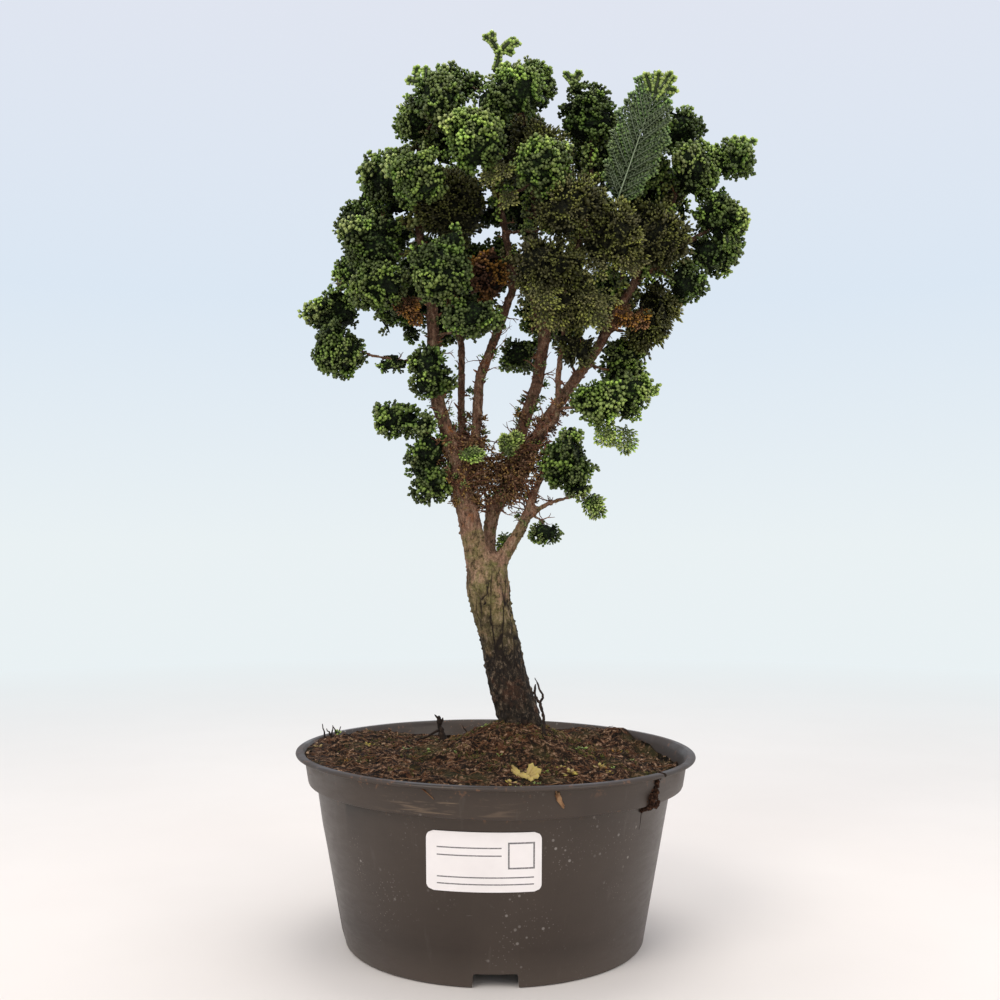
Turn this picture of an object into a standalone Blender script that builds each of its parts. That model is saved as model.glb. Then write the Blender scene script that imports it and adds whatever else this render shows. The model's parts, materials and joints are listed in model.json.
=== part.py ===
# Hinoki cypress bonsai in its plastic nursery pot.
# Lengths below are in millimetres and are scaled to metres when an object is made.
# The origin is the middle of the pot's underside, +Z is up and the front faces -Y.
import math
import random

import bmesh
import bpy
from mathutils import Matrix, Vector

MM = 0.001
GAP = 0.3                 # air between pieces that touch
SEED = 11

# Pot
SIDES = 32
RIM_RADIUS = 95.0
POT_HEIGHT = 88.0
BASE_RADIUS = 70.0
WALL = 1.6
LIP = 2.4
BAND_TOP_RADIUS = 90.8
BAND_FOOT_RADIUS = 89.0
BAND_HEIGHT = 14.0
BODY_TOP_RADIUS = 83.0
FLOOR = 2.2
CHANNEL_WIDTH = 20.0
CHANNEL_HEIGHT = 6.5
CHANNEL_LENGTH = 22.0
CHANNEL_COUNT = 4
DRAIN_RADIUS = 4.0
SPLIT_AZIMUTH = math.radians(-40.5)
SPLIT_FOOT = 62.0
SPLIT_TOP_WIDTH = 3.0
SPLIT_FOOT_WIDTH = 0.5

# Label
LABEL_WIDTH = 50.0
LABEL_HEIGHT = 25.0
LABEL_CENTRE = (-5.0, 55.0)
LABEL_CORNER = 3.0
LABEL_THICKNESS = 0.4

# Soil levels round the rim and at the trunk
SOIL_MEAN = 81.75
SOIL_LEFT_RIGHT = -4.5
SOIL_FRONT_BACK = -4.0
SOIL_SADDLE = 1.75
SOIL_MIDDLE = 85.0
MOUND_CENTRE = (13.0, 3.0)
MOUND_HEIGHT = 14.0
MOUND_SPREAD = 23.0
HEAP_CENTRE = (52.0, 66.0)
HEAP_HEIGHT = 8.0
HEAP_SPREAD = 11.0
SOIL_BUMP = 1.1
SOIL_RIM_LEVELS = (76.6, 87.4)
TONGUE_LEVELS = (71.5, 80.5)
CLOD_LEVEL = 78.5
CLOD_SIZE = (4.4, 4.6, 6.8)

# Foliage
CROWN_MIDDLE = Vector((17.0, 0.0, 322.0))
CLUMP_SWELL = 1.28
CORE_SHARE = 0.62         # core radius over clump radius
FAN_THICKNESS = 1.1
FAN_REACH_ROOT = 0.3
FAN_BREADTH = 1.25        # fan breadth over clump radius
FAN_SPACING = 4.15        # clump radius for each fan
FAN_LEAST = 3
FAN_MOST = 4
LINK_RADIUS = 1.8         # stalk between the lobes of one clump
CAP_ANGLE = math.radians(118)
CELL_MARGIN = 0.2
SMALLEST_SHARE = 0.56
GOLDEN_ANGLE = math.pi * (3 - math.sqrt(5))
TWIG_NEED = 0.55          # share of a clump's size within which a limb carries it
TWIG_START = 1.5
TWIG_END = 0.85

# One half fan outline: reach along the fan and half breadth, root to tip
FAN_OUTLINE = ((0.0, 0.10), (0.70, 0.56), (0.72, 0.18))
FAN_TIP = (1.0, 0.0)

WOOD = {
    "trunk": ((13, 4, 60, 6), (13, 4, 72, 10.4), (13, 4, 88, 11.6), (12, 4, 101, 10.3),
              (6, 4, 120, 9.9), (2, 3, 141, 9.4), (-2, 2, 155, 9.5), (-4, 1, 167, 10.9),
              (-4, 1, 176, 9.4), (-4, 1, 182, 5.5)),
    "left_main": ((-6, 1, 168, 7.2), (-9, 0, 183, 6.7), (-13, -2, 199, 5.7),
                  (-18, -3, 223, 5.7), (-21, -4, 238, 5.0)),
    "limb_a": ((-20, -3, 232, 4.4), (-28, -6, 255, 4.2), (-30, -5, 282, 3.9),
               (-31, -3, 306, 3.2), (-37, 0, 336, 2.4), (-40, 0, 368, 1.9), (-32, 0, 404, 1.3)),
    "limb_b": ((-16, 0, 226, 2.6), (-17, 10, 253, 2.5), (-17, 18, 285, 2.3),
               (-24, 31, 325, 1.9), (-34, 40, 372, 1.3)),
    "limb_c": ((-15, 0, 216, 3.6), (-10, 3, 236, 3.2), (-8, 4, 268, 3.1), (2, 2, 294, 2.9),
               (9, -2, 313, 2.7), (3, -8, 346, 2.1), (-4, -6, 378, 1.8), (-2, -4, 406, 1.2)),
    "middle": ((-3, 4, 176, 4.2), (-3, 9, 193, 3.8), (-1, 8, 206, 4.8), (7, 6, 215, 4.7),
               (12, 5, 223, 4.2)),
    "limb_d": ((4, 7, 212, 4.3), (12, 10, 241, 4.0), (21, 12, 268, 3.7), (25, 12, 294, 3.4)),
    "limb_d_left": ((24, 12, 288, 2.8), (18, 16, 314, 2.5), (20, 19, 346, 2.0),
                    (17, 18, 382, 1.5), (12, 10, 412, 1.1)),
    "limb_d_right": ((24, 12, 290, 2.7), (32, 8, 308, 2.2), (41, 4, 336, 2.0),
                     (47, 0, 362, 1.6), (46, -2, 392, 1.1)),
    "limb_d_back": ((24, 12, 284, 2.6), (26, 28, 302, 2.2), (24, 44, 330, 1.7),
                    (14, 50, 362, 1.2)),
    "limb_e": ((6, 6, 211, 4.6), (15, 2, 228, 4.1), (24, -1, 246, 3.9), (50, -4, 283, 3.1),
               (69, -2, 317, 2.8), (81, 2, 344, 2.1), (93, 4, 367, 1.6), (101, 3, 380, 1.1)),
    "limb_e_side": ((68, -2, 314, 2.2), (88, 0, 331, 1.8), (107, 2, 343, 1.3)),
    "limb_e_back": ((60, -3, 300, 2.2), (64, 18, 320, 1.8), (66, 36, 342, 1.3)),
    "limb_f": ((18, -3, 238, 1.9), (29, -12, 246, 1.9), (30, -15, 270, 1.8),
               (34, -18, 303, 1.4)),
    "right_low": ((-1, 1, 172, 5.0), (5, -1, 183, 4.0), (13, -3, 196, 3.4),
                  (17, -5, 208, 2.5), (22, -8, 220, 1.9), (25, -10, 237, 1.7)),
    "right_low_side": ((14, -4, 200, 2.0), (26, -6, 207, 1.4), (41, -9, 211, 1.0)),
    "right_low_under": ((15, -4, 202, 1.6), (21, -8, 199, 1.1), (25, -10, 194, 0.9)),
    "left_branchlet": ((-29, -5, 278, 1.9), (-44, -6, 275, 1.4), (-60, -5, 278, 1.1),
                       (-75, -5, 285, 0.9)),
    "left_low_branchlet": ((-18, -3, 226, 1.9), (-28, -6, 236, 1.4), (-42, -8, 247, 1.0)),
    "wiry_root": ((12, -3, 118, 1.0), (19, -9, 116, 0.8), (22, -11, 107, 0.8),
                  (20, -12, 101, 0.7)),
}
STUB = {
    "stub": ((-28, 36, 70, 2.2), (-28, 36, 84, 2.5), (-27.5, 35, 93, 2.3), (-26, 35, 101, 1.5)),
    "stub_root": ((-28, 36, 89, 1.0), (-34, 34, 87.6, 0.8), (-40, 32, 87.2, 0.6)),
}
BURIED = ("trunk",)

# Clumps: x, y, z of each middle and its half sizes along x, y, z
CLUMPS = {
    "clump_top_sprig": ((3, -5, 434, 8, 5, 5),),
    "clump_top_row": ((-17, 0, 416, 13, 10, 8),),
    "clump_top_left": ((-44, -5, 394, 9, 10, 12),),
    "clump_top_front": ((-26, -24, 392, 11, 10, 10),),
    "clump_top_right": ((20, 4, 414, 13, 11, 13),),
    "clump_top_bright": ((8, -26, 399, 14, 11, 11),),
    "clump_mid_bright": ((-10, -38, 373, 16, 12, 14),),
    "clump_left_upper": ((-54, -8, 367, 14, 12, 13),),
    "clump_left_front": ((-36, -31, 357, 13, 11, 11),),
    "clump_left_edge_high": ((-74, 2, 347, 9, 9, 11),),
    "clump_left_mid": ((-59, -16, 328, 14, 12, 12),),
    "clump_left_edge": ((-76, 4, 321, 9, 9, 11),),
    "clump_left_low": ((-53, -22, 306, 15, 12, 11),),
    "clump_centre_left": ((-25, -36, 313, 13, 11, 14),),
    "clump_centre_low": ((-13, -31, 291, 10, 10, 10),),
    "clump_far_left": ((-77, -6, 279, 12, 10, 10), (-81, 0, 299, 13, 11, 11)),
    "clump_branchlet": ((-53, -6, 275, 10, 6, 6),),
    "clump_limb_a": ((-33, -14, 272, 9, 9, 12),),
    "clump_lower_left": ((-50, -8, 252, 15, 9, 10), (-35, -12, 246, 8, 7, 8)),
    "clump_low_left": ((-37, -8, 230, 10, 9, 10), (-34, -7, 213, 10, 9, 9)),
    "clump_right_top": ((46, 0, 397, 15, 12, 13), (38, 0, 414, 7, 7, 8)),
    "clump_right_shoulder": ((94, 6, 394, 11, 10, 11),),
    "clump_right_high": ((99, -1, 370, 14, 12, 13),),
    "clump_right_tip": ((119, -2, 379, 11, 9, 11),),
    "clump_right_edge": ((114, 0, 347, 13, 11, 11), (108, 5, 328, 13, 11, 10)),
    "clump_right_low": ((97, 0, 310, 12, 11, 10),),
    "clump_bright_mid": ((22, -42, 359, 13, 11, 12),),
    "clump_centre": ((30, -37, 338, 13, 11, 11),),
    "clump_centre_right": ((58, -28, 329, 13, 11, 13),),
    "clump_right_inner": ((77, -14, 337, 12, 12, 13),),
    "clump_right_middle": ((72, 2, 372, 12, 11, 13),),
    "clump_hanging_upper": ((25, -34, 314, 15, 12, 12),),
    "clump_hanging_lower": ((38, -31, 296, 13, 10, 11),),
    "clump_under_right": ((74, -4, 291, 13, 11, 10), (84, 4, 305, 14, 11, 9)),
    "clump_right_dark": ((65, 10, 275, 14, 11, 12),),
    "clump_lower_right": ((47, -20, 254, 14, 10, 12), (66, -16, 259, 12, 9, 11)),
    "clump_fork_right": ((36, -18, 225, 14, 10, 13), (45, -13, 210, 6, 6, 6)),
    "clump_under_fork": ((24, -10, 192, 7, 6, 6),),
    "clump_behind_gap": ((11, 24, 282, 10, 9, 9),),
    "clump_thin_limb": ((40, -18, 279, 9, 8, 9),),
    "clump_inner_left": ((-22, -8, 345, 17, 13, 17),),
    "clump_inner_mid": ((20, -8, 375, 17, 12, 15),),
    "clump_dry_centre": ((-4, -10, 316, 8, 8, 12),),
    "clump_back_top": ((-16, 26, 399, 19, 14, 13), (14, 30, 398, 18, 14, 13)),
    "clump_back_top_right": ((49, 28, 389, 18, 15, 14),),
    "clump_back_left": ((-50, 28, 370, 17, 15, 15), (-60, 26, 344, 15, 15, 15)),
    "clump_back_upper": ((-18, 50, 367, 18, 13, 16), (11, 54, 368, 18, 13, 16)),
    "clump_back_upper_right": ((42, 50, 360, 18, 13, 16),),
    "clump_back_right": ((79, 28, 366, 17, 14, 16), (85, 26, 340, 15, 13, 14)),
    "clump_back_middle": ((-34, 50, 336, 17, 13, 15), (-6, 58, 334, 17, 12, 15),
                          (23, 58, 332, 17, 12, 15)),
    "clump_back_low": ((-46, 32, 311, 16, 14, 12), (-20, 40, 305, 16, 13, 12)),
    "clump_back_low_right": ((26, 44, 302, 17, 13, 13), (54, 38, 314, 17, 13, 14)),
}
BRIGHT = ("top_bright", "mid_bright", "left_front", "bright_mid", "lower_right", "right_tip")
OLIVE = ("hanging", "centre", "inner", "thin_limb", "under_right")

# Broad flat spray in front of the right side
SPRAY_BASE = Vector((58.0, -30.0, 343.0))
SPRAY_TIP = Vector((79.0, -25.0, 411.0))
SPRAY_BREADTH = 27.0
SPRAY_LOBES = 5
SPRAY_THICKNESS = 1.2
SPRAY_CORE = 3.6

# Spray lying on the soil
FALLEN_PLACE = (13.0, -60.0)
FALLEN_BASE = Vector((6.5, 2.0, 0.0))
FALLEN_TIP = Vector((-6.5, -2.0, 1.2))
FALLEN_BREADTH = 9.0
FALLEN_LOBES = 3
FALLEN_CLEARANCE = 0.45

PLASTIC_COLOUR = (0.055, 0.052, 0.05)
SOIL_COLOUR = (0.06, 0.035, 0.02)
BARK_COLOUR = (0.25, 0.13, 0.08)
DEAD_WOOD_COLOUR = (0.04, 0.025, 0.018)
LABEL_COLOUR = (0.85, 0.85, 0.83)
GREEN = (0.035, 0.12, 0.03)
BRIGHT_GREEN = (0.11, 0.26, 0.04)
OLIVE_GREEN = (0.09, 0.10, 0.03)
BLUE_GREEN = (0.05, 0.14, 0.08)
DRY_BROWN = (0.30, 0.11, 0.03)
FALLEN_COLOUR = (0.33, 0.36, 0.06)


def clear_scene():
    for item in list(bpy.data.objects):
        bpy.data.objects.remove(item, do_unlink=True)


def make_material(name, colour, roughness):
    material = bpy.data.materials.new(name)
    material.use_nodes = True
    shader = material.node_tree.nodes["Principled BSDF"]
    shader.inputs["Base Color"].default_value = (*colour, 1.0)
    shader.inputs["Roughness"].default_value = roughness
    shader.inputs["Metallic"].default_value = 0.0
    return material


def add_object(name, bm):
    mesh = bpy.data.meshes.new(name)
    bm.to_mesh(mesh)
    bm.free()
    item = bpy.data.objects.new(name, mesh)
    bpy.context.scene.collection.objects.link(item)
    return item


def finish(item, colour, roughness=0.8, smooth=False):
    """Scale a modelled object to metres and give it its own material."""
    item.data.transform(Matrix.Scale(MM, 4))
    item.data.materials.clear()
    item.data.materials.append(make_material(item.name + "_material", colour, roughness))
    if smooth:
        item.data.shade_smooth()
        item.data.set_sharp_from_angle(angle=math.radians(35))
    return item


def discard(items):
    for item in items:
        mesh = item.data
        bpy.data.objects.remove(item, do_unlink=True)
        bpy.data.meshes.remove(mesh)


def is_closed(mesh):
    bm = bmesh.new()
    bm.from_mesh(mesh)
    closed = len(bm.faces) > 0 and all(len(edge.link_faces) == 2 for edge in bm.edges)
    bm.free()
    return closed


def apply_boolean(item, operation, others, solver):
    group = bpy.data.collections.new(item.name + "_operands")
    bpy.context.scene.collection.children.link(group)
    for other in others:
        group.objects.link(other)
    modifier = item.modifiers.new(operation.lower(), "BOOLEAN")
    modifier.operation = operation
    modifier.operand_type = "COLLECTION"
    modifier.collection = group
    modifier.solver = solver
    graph = bpy.context.evaluated_depsgraph_get()
    result = bpy.data.meshes.new_from_object(item.evaluated_get(graph))
    item.modifiers.remove(modifier)
    bpy.data.collections.remove(group)
    return result


def combine(item, operation, others, keep_others=False):
    """Join or cut an object with others in one Boolean and keep its main body."""
    if others:
        result = apply_boolean(item, operation, others, "EXACT")
        if not is_closed(result):
            bpy.data.meshes.remove(result)
            result = apply_boolean(item, operation, others, "MANIFOLD")
        old = item.data
        item.data = result
        bpy.data.meshes.remove(old)
    if not keep_others:
        discard(others)
    keep_main_body(item)
    return item


def body_of(face):
    found = {face}
    front = [face]
    while front:
        for edge in front.pop().edges:
            for neighbour in edge.link_faces:
                if neighbour not in found:
                    found.add(neighbour)
                    front.append(neighbour)
    return found


def signed_volume(faces):
    total = 0.0
    for face in faces:
        first, *rest = [loop.vert.co for loop in face.loops]
        for second, third in zip(rest, rest[1:]):
            total += first.dot(second.cross(third)) / 6.0
    return total


def keep_main_body(item):
    """Drop loose scraps and sealed hollows, which are bodies of smaller volume."""
    bm = bmesh.new()
    bm.from_mesh(item.data)
    bodies = []
    left = set(bm.faces)
    while left:
        body = body_of(next(iter(left)))
        left -= body
        bodies.append(body)
    main = max(bodies, key=signed_volume)
    spare = [face for body in bodies if body is not main for face in body]
    bmesh.ops.delete(bm, geom=spare, context="FACES")
    loose = [vert for vert in bm.verts if not vert.link_faces]
    bmesh.ops.delete(bm, geom=loose, context="VERTS")
    bm.to_mesh(item.data)
    bm.free()


def add_solid(bm, rings, closed_start=True, closed_end=True):
    """Skin rings of equal length into one closed solid."""
    made = [[bm.verts.new(point) for point in ring] for ring in rings]
    count = len(made[0])
    for lower, upper in zip(made, made[1:]):
        for i in range(count):
            j = (i + 1) % count
            bm.faces.new((lower[i], lower[j], upper[j], upper[i]))
    if closed_start:
        bm.faces.new(list(reversed(made[0])))
    if closed_end:
        bm.faces.new(made[-1])
    return made


def make_lathe(name, profile):
    """Turn a profile of (radius, height) points that starts and ends on the axis."""
    bm = bmesh.new()
    angles = [2 * math.pi * (i + 0.5) / SIDES for i in range(SIDES)]
    rings = [[(r * math.cos(a), r * math.sin(a), z) for a in angles] for r, z in profile[1:-1]]
    made = add_solid(bm, rings, closed_start=False, closed_end=False)
    for (_, height), ring, flip in ((profile[0], made[0], True), (profile[-1], made[-1], False)):
        pole = bm.verts.new((0.0, 0.0, height))
        for i in range(SIDES):
            a, b = ring[i], ring[(i + 1) % SIDES]
            bm.faces.new((b, a, pole) if flip else (a, b, pole))
    return add_object(name, bm)


def make_prism(name, outline, start, end, placement):
    """Extrude an outline of (x, z) points along y and place it."""
    bm = bmesh.new()
    rings = [[placement @ Vector((x, y, z)) for x, z in outline] for y in (start, end)]
    add_solid(bm, rings)
    bmesh.ops.recalc_face_normals(bm, faces=bm.faces)
    return add_object(name, bm)


def make_tube(name, points, grow=0.0):
    """Tapered tube through (x, y, z, radius) points, thick ones with more sides."""
    centres = [Vector(point[:3]) for point in points]
    thickest = max(point[3] for point in points)
    sides = 12 if thickest > 8 else 7 if thickest > 5 else 5 if thickest > 1.75 else 4
    tangents = []
    for i in range(len(centres)):
        before = centres[max(i - 1, 0)]
        after = centres[min(i + 1, len(centres) - 1)]
        tangents.append((after - before).normalized())
    centres[0] = centres[0] - tangents[0] * grow
    centres[-1] = centres[-1] + tangents[-1] * grow
    across = tangents[0].orthogonal().normalized()
    rings = []
    for centre, tangent, point in zip(centres, tangents, points):
        across = (across - tangent * across.dot(tangent)).normalized()
        upright = tangent.cross(across)
        radius = point[3] + grow / math.cos(math.pi / sides)
        ring = []
        for k in range(sides):
            angle = 2 * math.pi * k / sides
            ring.append(centre + (across * math.cos(angle) + upright * math.sin(angle)) * radius)
        rings.append(ring)
    bm = bmesh.new()
    add_solid(bm, rings)
    return add_object(name, bm)


# Pot profile, outside and inside
def outer_profile(grow=0.0):
    band_foot = POT_HEIGHT - BAND_HEIGHT
    return ((0.0, -grow), (BASE_RADIUS - 1.0 + grow, -grow), (BASE_RADIUS + grow, 1.0 - grow),
            (BODY_TOP_RADIUS + grow, band_foot - 1.5 - grow),
            (BAND_FOOT_RADIUS + grow, band_foot - grow),
            (BAND_TOP_RADIUS + grow, POT_HEIGHT - LIP - 0.6 - grow),
            (RIM_RADIUS - 0.6 + grow, POT_HEIGHT - LIP - grow),
            (RIM_RADIUS + grow, POT_HEIGHT - LIP / 2),
            (RIM_RADIUS - 0.8 + grow, POT_HEIGHT + grow), (0.0, POT_HEIGHT + grow))


def inner_profile(shrink=0.0):
    band_foot = POT_HEIGHT - BAND_HEIGHT
    return ((0.0, FLOOR + shrink), (BASE_RADIUS - WALL - shrink, FLOOR + shrink),
            (BODY_TOP_RADIUS - WALL - shrink, band_foot - 0.7 + shrink),
            (BAND_FOOT_RADIUS - WALL - shrink, band_foot + 1.4 + shrink),
            (BAND_TOP_RADIUS - WALL - shrink, POT_HEIGHT + shrink))


def cavity_radius(height, shrink):
    """Radius of the pot's inside at a height above the band's foot."""
    (low_radius, low), (high_radius, high) = inner_profile(shrink)[-2:]
    share = (height - low) / (high - low)
    return low_radius + (high_radius - low_radius) * share


def make_channels(name, wall, grow=0.0):
    """Blocks of the drainage channels under the rim of the pot's floor."""
    half = CHANNEL_WIDTH / 2 + wall + grow
    top = CHANNEL_HEIGHT + wall + grow
    outline = ((-half, -2.0), (half, -2.0), (half - 1.0, top), (-half + 1.0, top))
    reach = BASE_RADIUS + 12.0
    back = BASE_RADIUS - CHANNEL_LENGTH - wall - grow
    blocks = []
    for k in range(CHANNEL_COUNT):
        turn = Matrix.Rotation(2 * math.pi * k / CHANNEL_COUNT, 4, "Z")
        blocks.append(make_prism("%s_%d" % (name, k), outline, -reach, -back, turn))
    return blocks


def make_drains():
    drains = []
    for k in range(CHANNEL_COUNT):
        angle = 2 * math.pi * k / CHANNEL_COUNT - math.pi / 2
        radius = BASE_RADIUS - CHANNEL_LENGTH / 2
        x, y = radius * math.cos(angle), radius * math.sin(angle)
        rim = ((x, y, CHANNEL_HEIGHT - 3.0, DRAIN_RADIUS), (x, y, CHANNEL_HEIGHT + 6.0, DRAIN_RADIUS))
        drains.append(make_tube("drain_%d" % k, rim))
    return drains


def split_half_width(height):
    share = (height - SPLIT_FOOT) / (POT_HEIGHT - SPLIT_FOOT)
    return (SPLIT_FOOT_WIDTH + (SPLIT_TOP_WIDTH - SPLIT_FOOT_WIDTH) * share) / 2


def make_split_wedge(name, low, high, start, end, shrink=0.0):
    """Wedge along the crack in the rim, from one radius to another."""
    foot = split_half_width(low) - shrink
    head = split_half_width(high) - shrink
    outline = ((-foot, low), (foot, low), (head, high), (-head, high))
    turn = Matrix.Rotation(SPLIT_AZIMUTH + math.pi / 2, 4, "Z")
    return make_prism(name, outline, -end, -start, turn)


def build_pot():
    above = POT_HEIGHT + 6.0
    mouth = ((BAND_TOP_RADIUS - WALL, above), (0.0, above))
    cavity = make_lathe("cavity", inner_profile() + mouth)
    combine(cavity, "DIFFERENCE", make_channels("hump", WALL))
    pot = make_lathe("pot", outer_profile())
    wedge = make_split_wedge("split", SPLIT_FOOT, POT_HEIGHT + 4.0, 76.0, 100.0)
    cuts = [cavity, wedge] + make_channels("channel", 0.0) + make_drains()
    combine(pot, "DIFFERENCE", cuts)
    return finish(pot, PLASTIC_COLOUR, 0.45, smooth=True)


def rim_level(angle):
    return (SOIL_MEAN + SOIL_LEFT_RIGHT * math.cos(angle) + SOIL_FRONT_BACK * math.sin(angle)
            + SOIL_SADDLE * math.cos(2 * angle))


def hump(x, y, centre, height, spread):
    distance = math.hypot(x - centre[0], y - centre[1])
    return height * math.exp(-distance ** 2 / (2 * spread ** 2))


def soil_height(x, y):
    radius = math.hypot(x, y)
    share = min(radius / 88.0, 1.0)
    blend = share * share * (3 - 2 * share)
    level = SOIL_MIDDLE + (rim_level(math.atan2(y, x)) - SOIL_MIDDLE) * blend
    bump = math.sin(0.31 * x + 1.3) * math.sin(0.27 * y + 0.4) + 0.5 * math.sin(0.11 * (x - 2 * y))
    level += SOIL_BUMP * bump
    level += hump(x, y, MOUND_CENTRE, MOUND_HEIGHT, MOUND_SPREAD)
    level += hump(x, y, HEAP_CENTRE, HEAP_HEIGHT, HEAP_SPREAD)
    if radius > 80.0:
        lowest, highest = SOIL_RIM_LEVELS
        level = min(max(level, lowest), highest)
    return level


def make_soil_body():
    rings = inner_profile(GAP)
    steps = (83.0, 69.0, 55.0, 41.0, 28.0, 15.0)
    top = [(radius, POT_HEIGHT) for radius in (BAND_TOP_RADIUS - WALL - GAP,) + steps]
    body = make_lathe("soil", rings[:-1] + tuple(top) + ((0.0, POT_HEIGHT),))
    for vert in body.data.vertices:
        if vert.co.z > POT_HEIGHT - 0.5:
            radius = math.hypot(vert.co.x, vert.co.y)
            vert.co.z = soil_height(vert.co.x, vert.co.y)
            if radius > 87.0:
                pull = cavity_radius(vert.co.z, GAP) / radius
                vert.co.x *= pull
                vert.co.y *= pull
    return body


def make_clod():
    """Soil pushed out through the crack, outside the band."""
    radius = BAND_TOP_RADIUS + 0.6
    middle = Vector((radius * math.cos(SPLIT_AZIMUTH), radius * math.sin(SPLIT_AZIMUTH), CLOD_LEVEL))
    bm = bmesh.new()
    bmesh.ops.create_icosphere(bm, subdivisions=2, radius=1.0)
    turn = Matrix.Rotation(SPLIT_AZIMUTH, 4, "Z")
    for vert in bm.verts:
        lump = 1.0 + 0.12 * math.sin(5 * vert.co.x + 3 * vert.co.z)
        along = Vector((vert.co.x * CLOD_SIZE[1], vert.co.y * CLOD_SIZE[0], vert.co.z * CLOD_SIZE[2]))
        vert.co = middle + turn @ (along * lump)
    clod = add_object("clod", bm)
    return combine(clod, "DIFFERENCE", [make_lathe("outside", outer_profile(GAP))])


def build_soil():
    soil = make_soil_body()
    low, high = TONGUE_LEVELS
    tongue = make_split_wedge("tongue", low, high, 80.0, 93.0, GAP)
    combine(soil, "UNION", [tongue, make_clod()])
    holes = make_channels("hump", WALL, GAP)
    holes += [make_tube("hole_" + part, WOOD[part], GAP) for part in BURIED]
    holes.append(make_tube("hole_stub", STUB["stub"], GAP))
    combine(soil, "DIFFERENCE", holes)
    return finish(soil, SOIL_COLOUR, 0.95)


def build_label():
    """Blank label that follows the pot's wall."""
    shell = make_lathe("label_outside", wall_cone(GAP + LABEL_THICKNESS))
    inside = make_lathe("label_inside", wall_cone(GAP))
    cutter = make_prism("label_outline", label_outline(), -100.0, 0.0, Matrix.Identity(4))
    combine(shell, "INTERSECT", [cutter])
    combine(shell, "DIFFERENCE", [inside])
    shell.name = "label"
    return finish(shell, LABEL_COLOUR, 0.5)


def wall_cone(grow):
    """Profile of a cone that lies outside the pot's wall, on the wall's own slope."""
    band_foot = POT_HEIGHT - BAND_HEIGHT
    slope = (BODY_TOP_RADIUS - BASE_RADIUS) / (band_foot - 1.5 - 1.0)
    low = LABEL_CENTRE[1] - LABEL_HEIGHT
    high = LABEL_CENTRE[1] + LABEL_HEIGHT * 0.7
    return ((0.0, low), (BASE_RADIUS + grow + slope * (low - 1.0), low),
            (BASE_RADIUS + grow + slope * (high - 1.0), high), (0.0, high))


def label_outline():
    points = []
    for corner, (sx, sz) in enumerate(((1, -1), (1, 1), (-1, 1), (-1, -1))):
        x = LABEL_CENTRE[0] + sx * (LABEL_WIDTH / 2 - LABEL_CORNER)
        z = LABEL_CENTRE[1] + sz * (LABEL_HEIGHT / 2 - LABEL_CORNER)
        for step in range(4):
            angle = math.radians(-90 + 90 * corner + 30 * step)
            points.append((x + LABEL_CORNER * math.cos(angle), z + LABEL_CORNER * math.sin(angle)))
    return points


def nearest_limb_point(target):
    """Point on the limbs that a twig to the target would spring from."""
    best = None
    for name, points in WOOD.items():
        if name in ("trunk", "wiry_root"):
            continue
        for start, end in zip(points, points[1:]):
            for step in range(5):
                point = Vector(start[:3]).lerp(Vector(end[:3]), step / 4)
                radius = start[3] + (end[3] - start[3]) * step / 4
                cost = (point - target).length + 0.5 * max(point.z - target.z, 0.0)
                if best is None or cost < best[0]:
                    best = (cost, point, radius)
    return best[1], best[2]


def twig_to(target, reach, draw):
    """Points of a twig from its limb to a clump's middle, or none where a limb is there."""
    start, radius = nearest_limb_point(target)
    length = (target - start).length
    if length < reach:
        return None
    middle = start.lerp(target, 0.5)
    middle.z -= 0.08 * length
    middle.x += draw.uniform(-0.06, 0.06) * length
    middle.y += draw.uniform(-0.06, 0.06) * length
    thick = min(TWIG_START, radius * 0.9)
    return ((*start, thick), (*middle, (thick + TWIG_END) / 2), (*target, TWIG_END))


def all_clumps():
    """Every clump with its lobes swollen until they press on each other."""
    clumps = {}
    for name, lobes in CLUMPS.items():
        clumps[name] = [(*lobe[:3], *[half * CLUMP_SWELL for half in lobe[3:]]) for lobe in lobes]
    return clumps


def wood_parts():
    """Every limb and twig as a named list of points."""
    draw = random.Random(SEED)
    parts = dict(WOOD)
    for name, lobes in all_clumps().items():
        target = Vector(lobes[0][:3])
        twig = twig_to(target, TWIG_NEED * min(lobes[0][3:]), draw)
        if twig:
            parts["twig_" + name] = twig
    parts["twig_flat_spray"] = twig_to(SPRAY_BASE, 1.0, draw)
    return parts


def build_wood(parts):
    tubes = [make_tube(name, points) for name, points in parts.items()]
    trunk = tubes[0]
    combine(trunk, "UNION", tubes[1:])
    trunk.name = "trunk"
    return finish(trunk, BARK_COLOUR, 0.85)


def build_stub():
    tubes = [make_tube(name, points) for name, points in STUB.items()]
    stub = combine(tubes[0], "UNION", tubes[1:])
    stub.name = "dead_stub"
    return finish(stub, DEAD_WOOD_COLOUR, 0.9)


def support(size, direction):
    return Vector([size[i] * direction[i] for i in range(3)]).length


def cell_planes(name, lobe, clumps):
    """Planes that part a lobe from the lobes of every other clump."""
    middle, size = Vector(lobe[:3]), lobe[3:]
    planes = []
    for other_name, others in clumps.items():
        if other_name == name:
            continue
        for other in others:
            apart = Vector(other[:3]) - middle
            normal = apart.normalized()
            own, their = support(size, normal), support(other[3:], normal)
            if apart.length < 1.6 * (own + their):
                limit = apart.length * own / (own + their) - CELL_MARGIN
                planes.append((normal, limit))
    return planes


def share_inside(offset, planes):
    share = 1.0
    for normal, limit in planes:
        reach = offset.dot(normal)
        if reach > limit:
            share = min(share, limit / reach)
    return share


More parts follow.
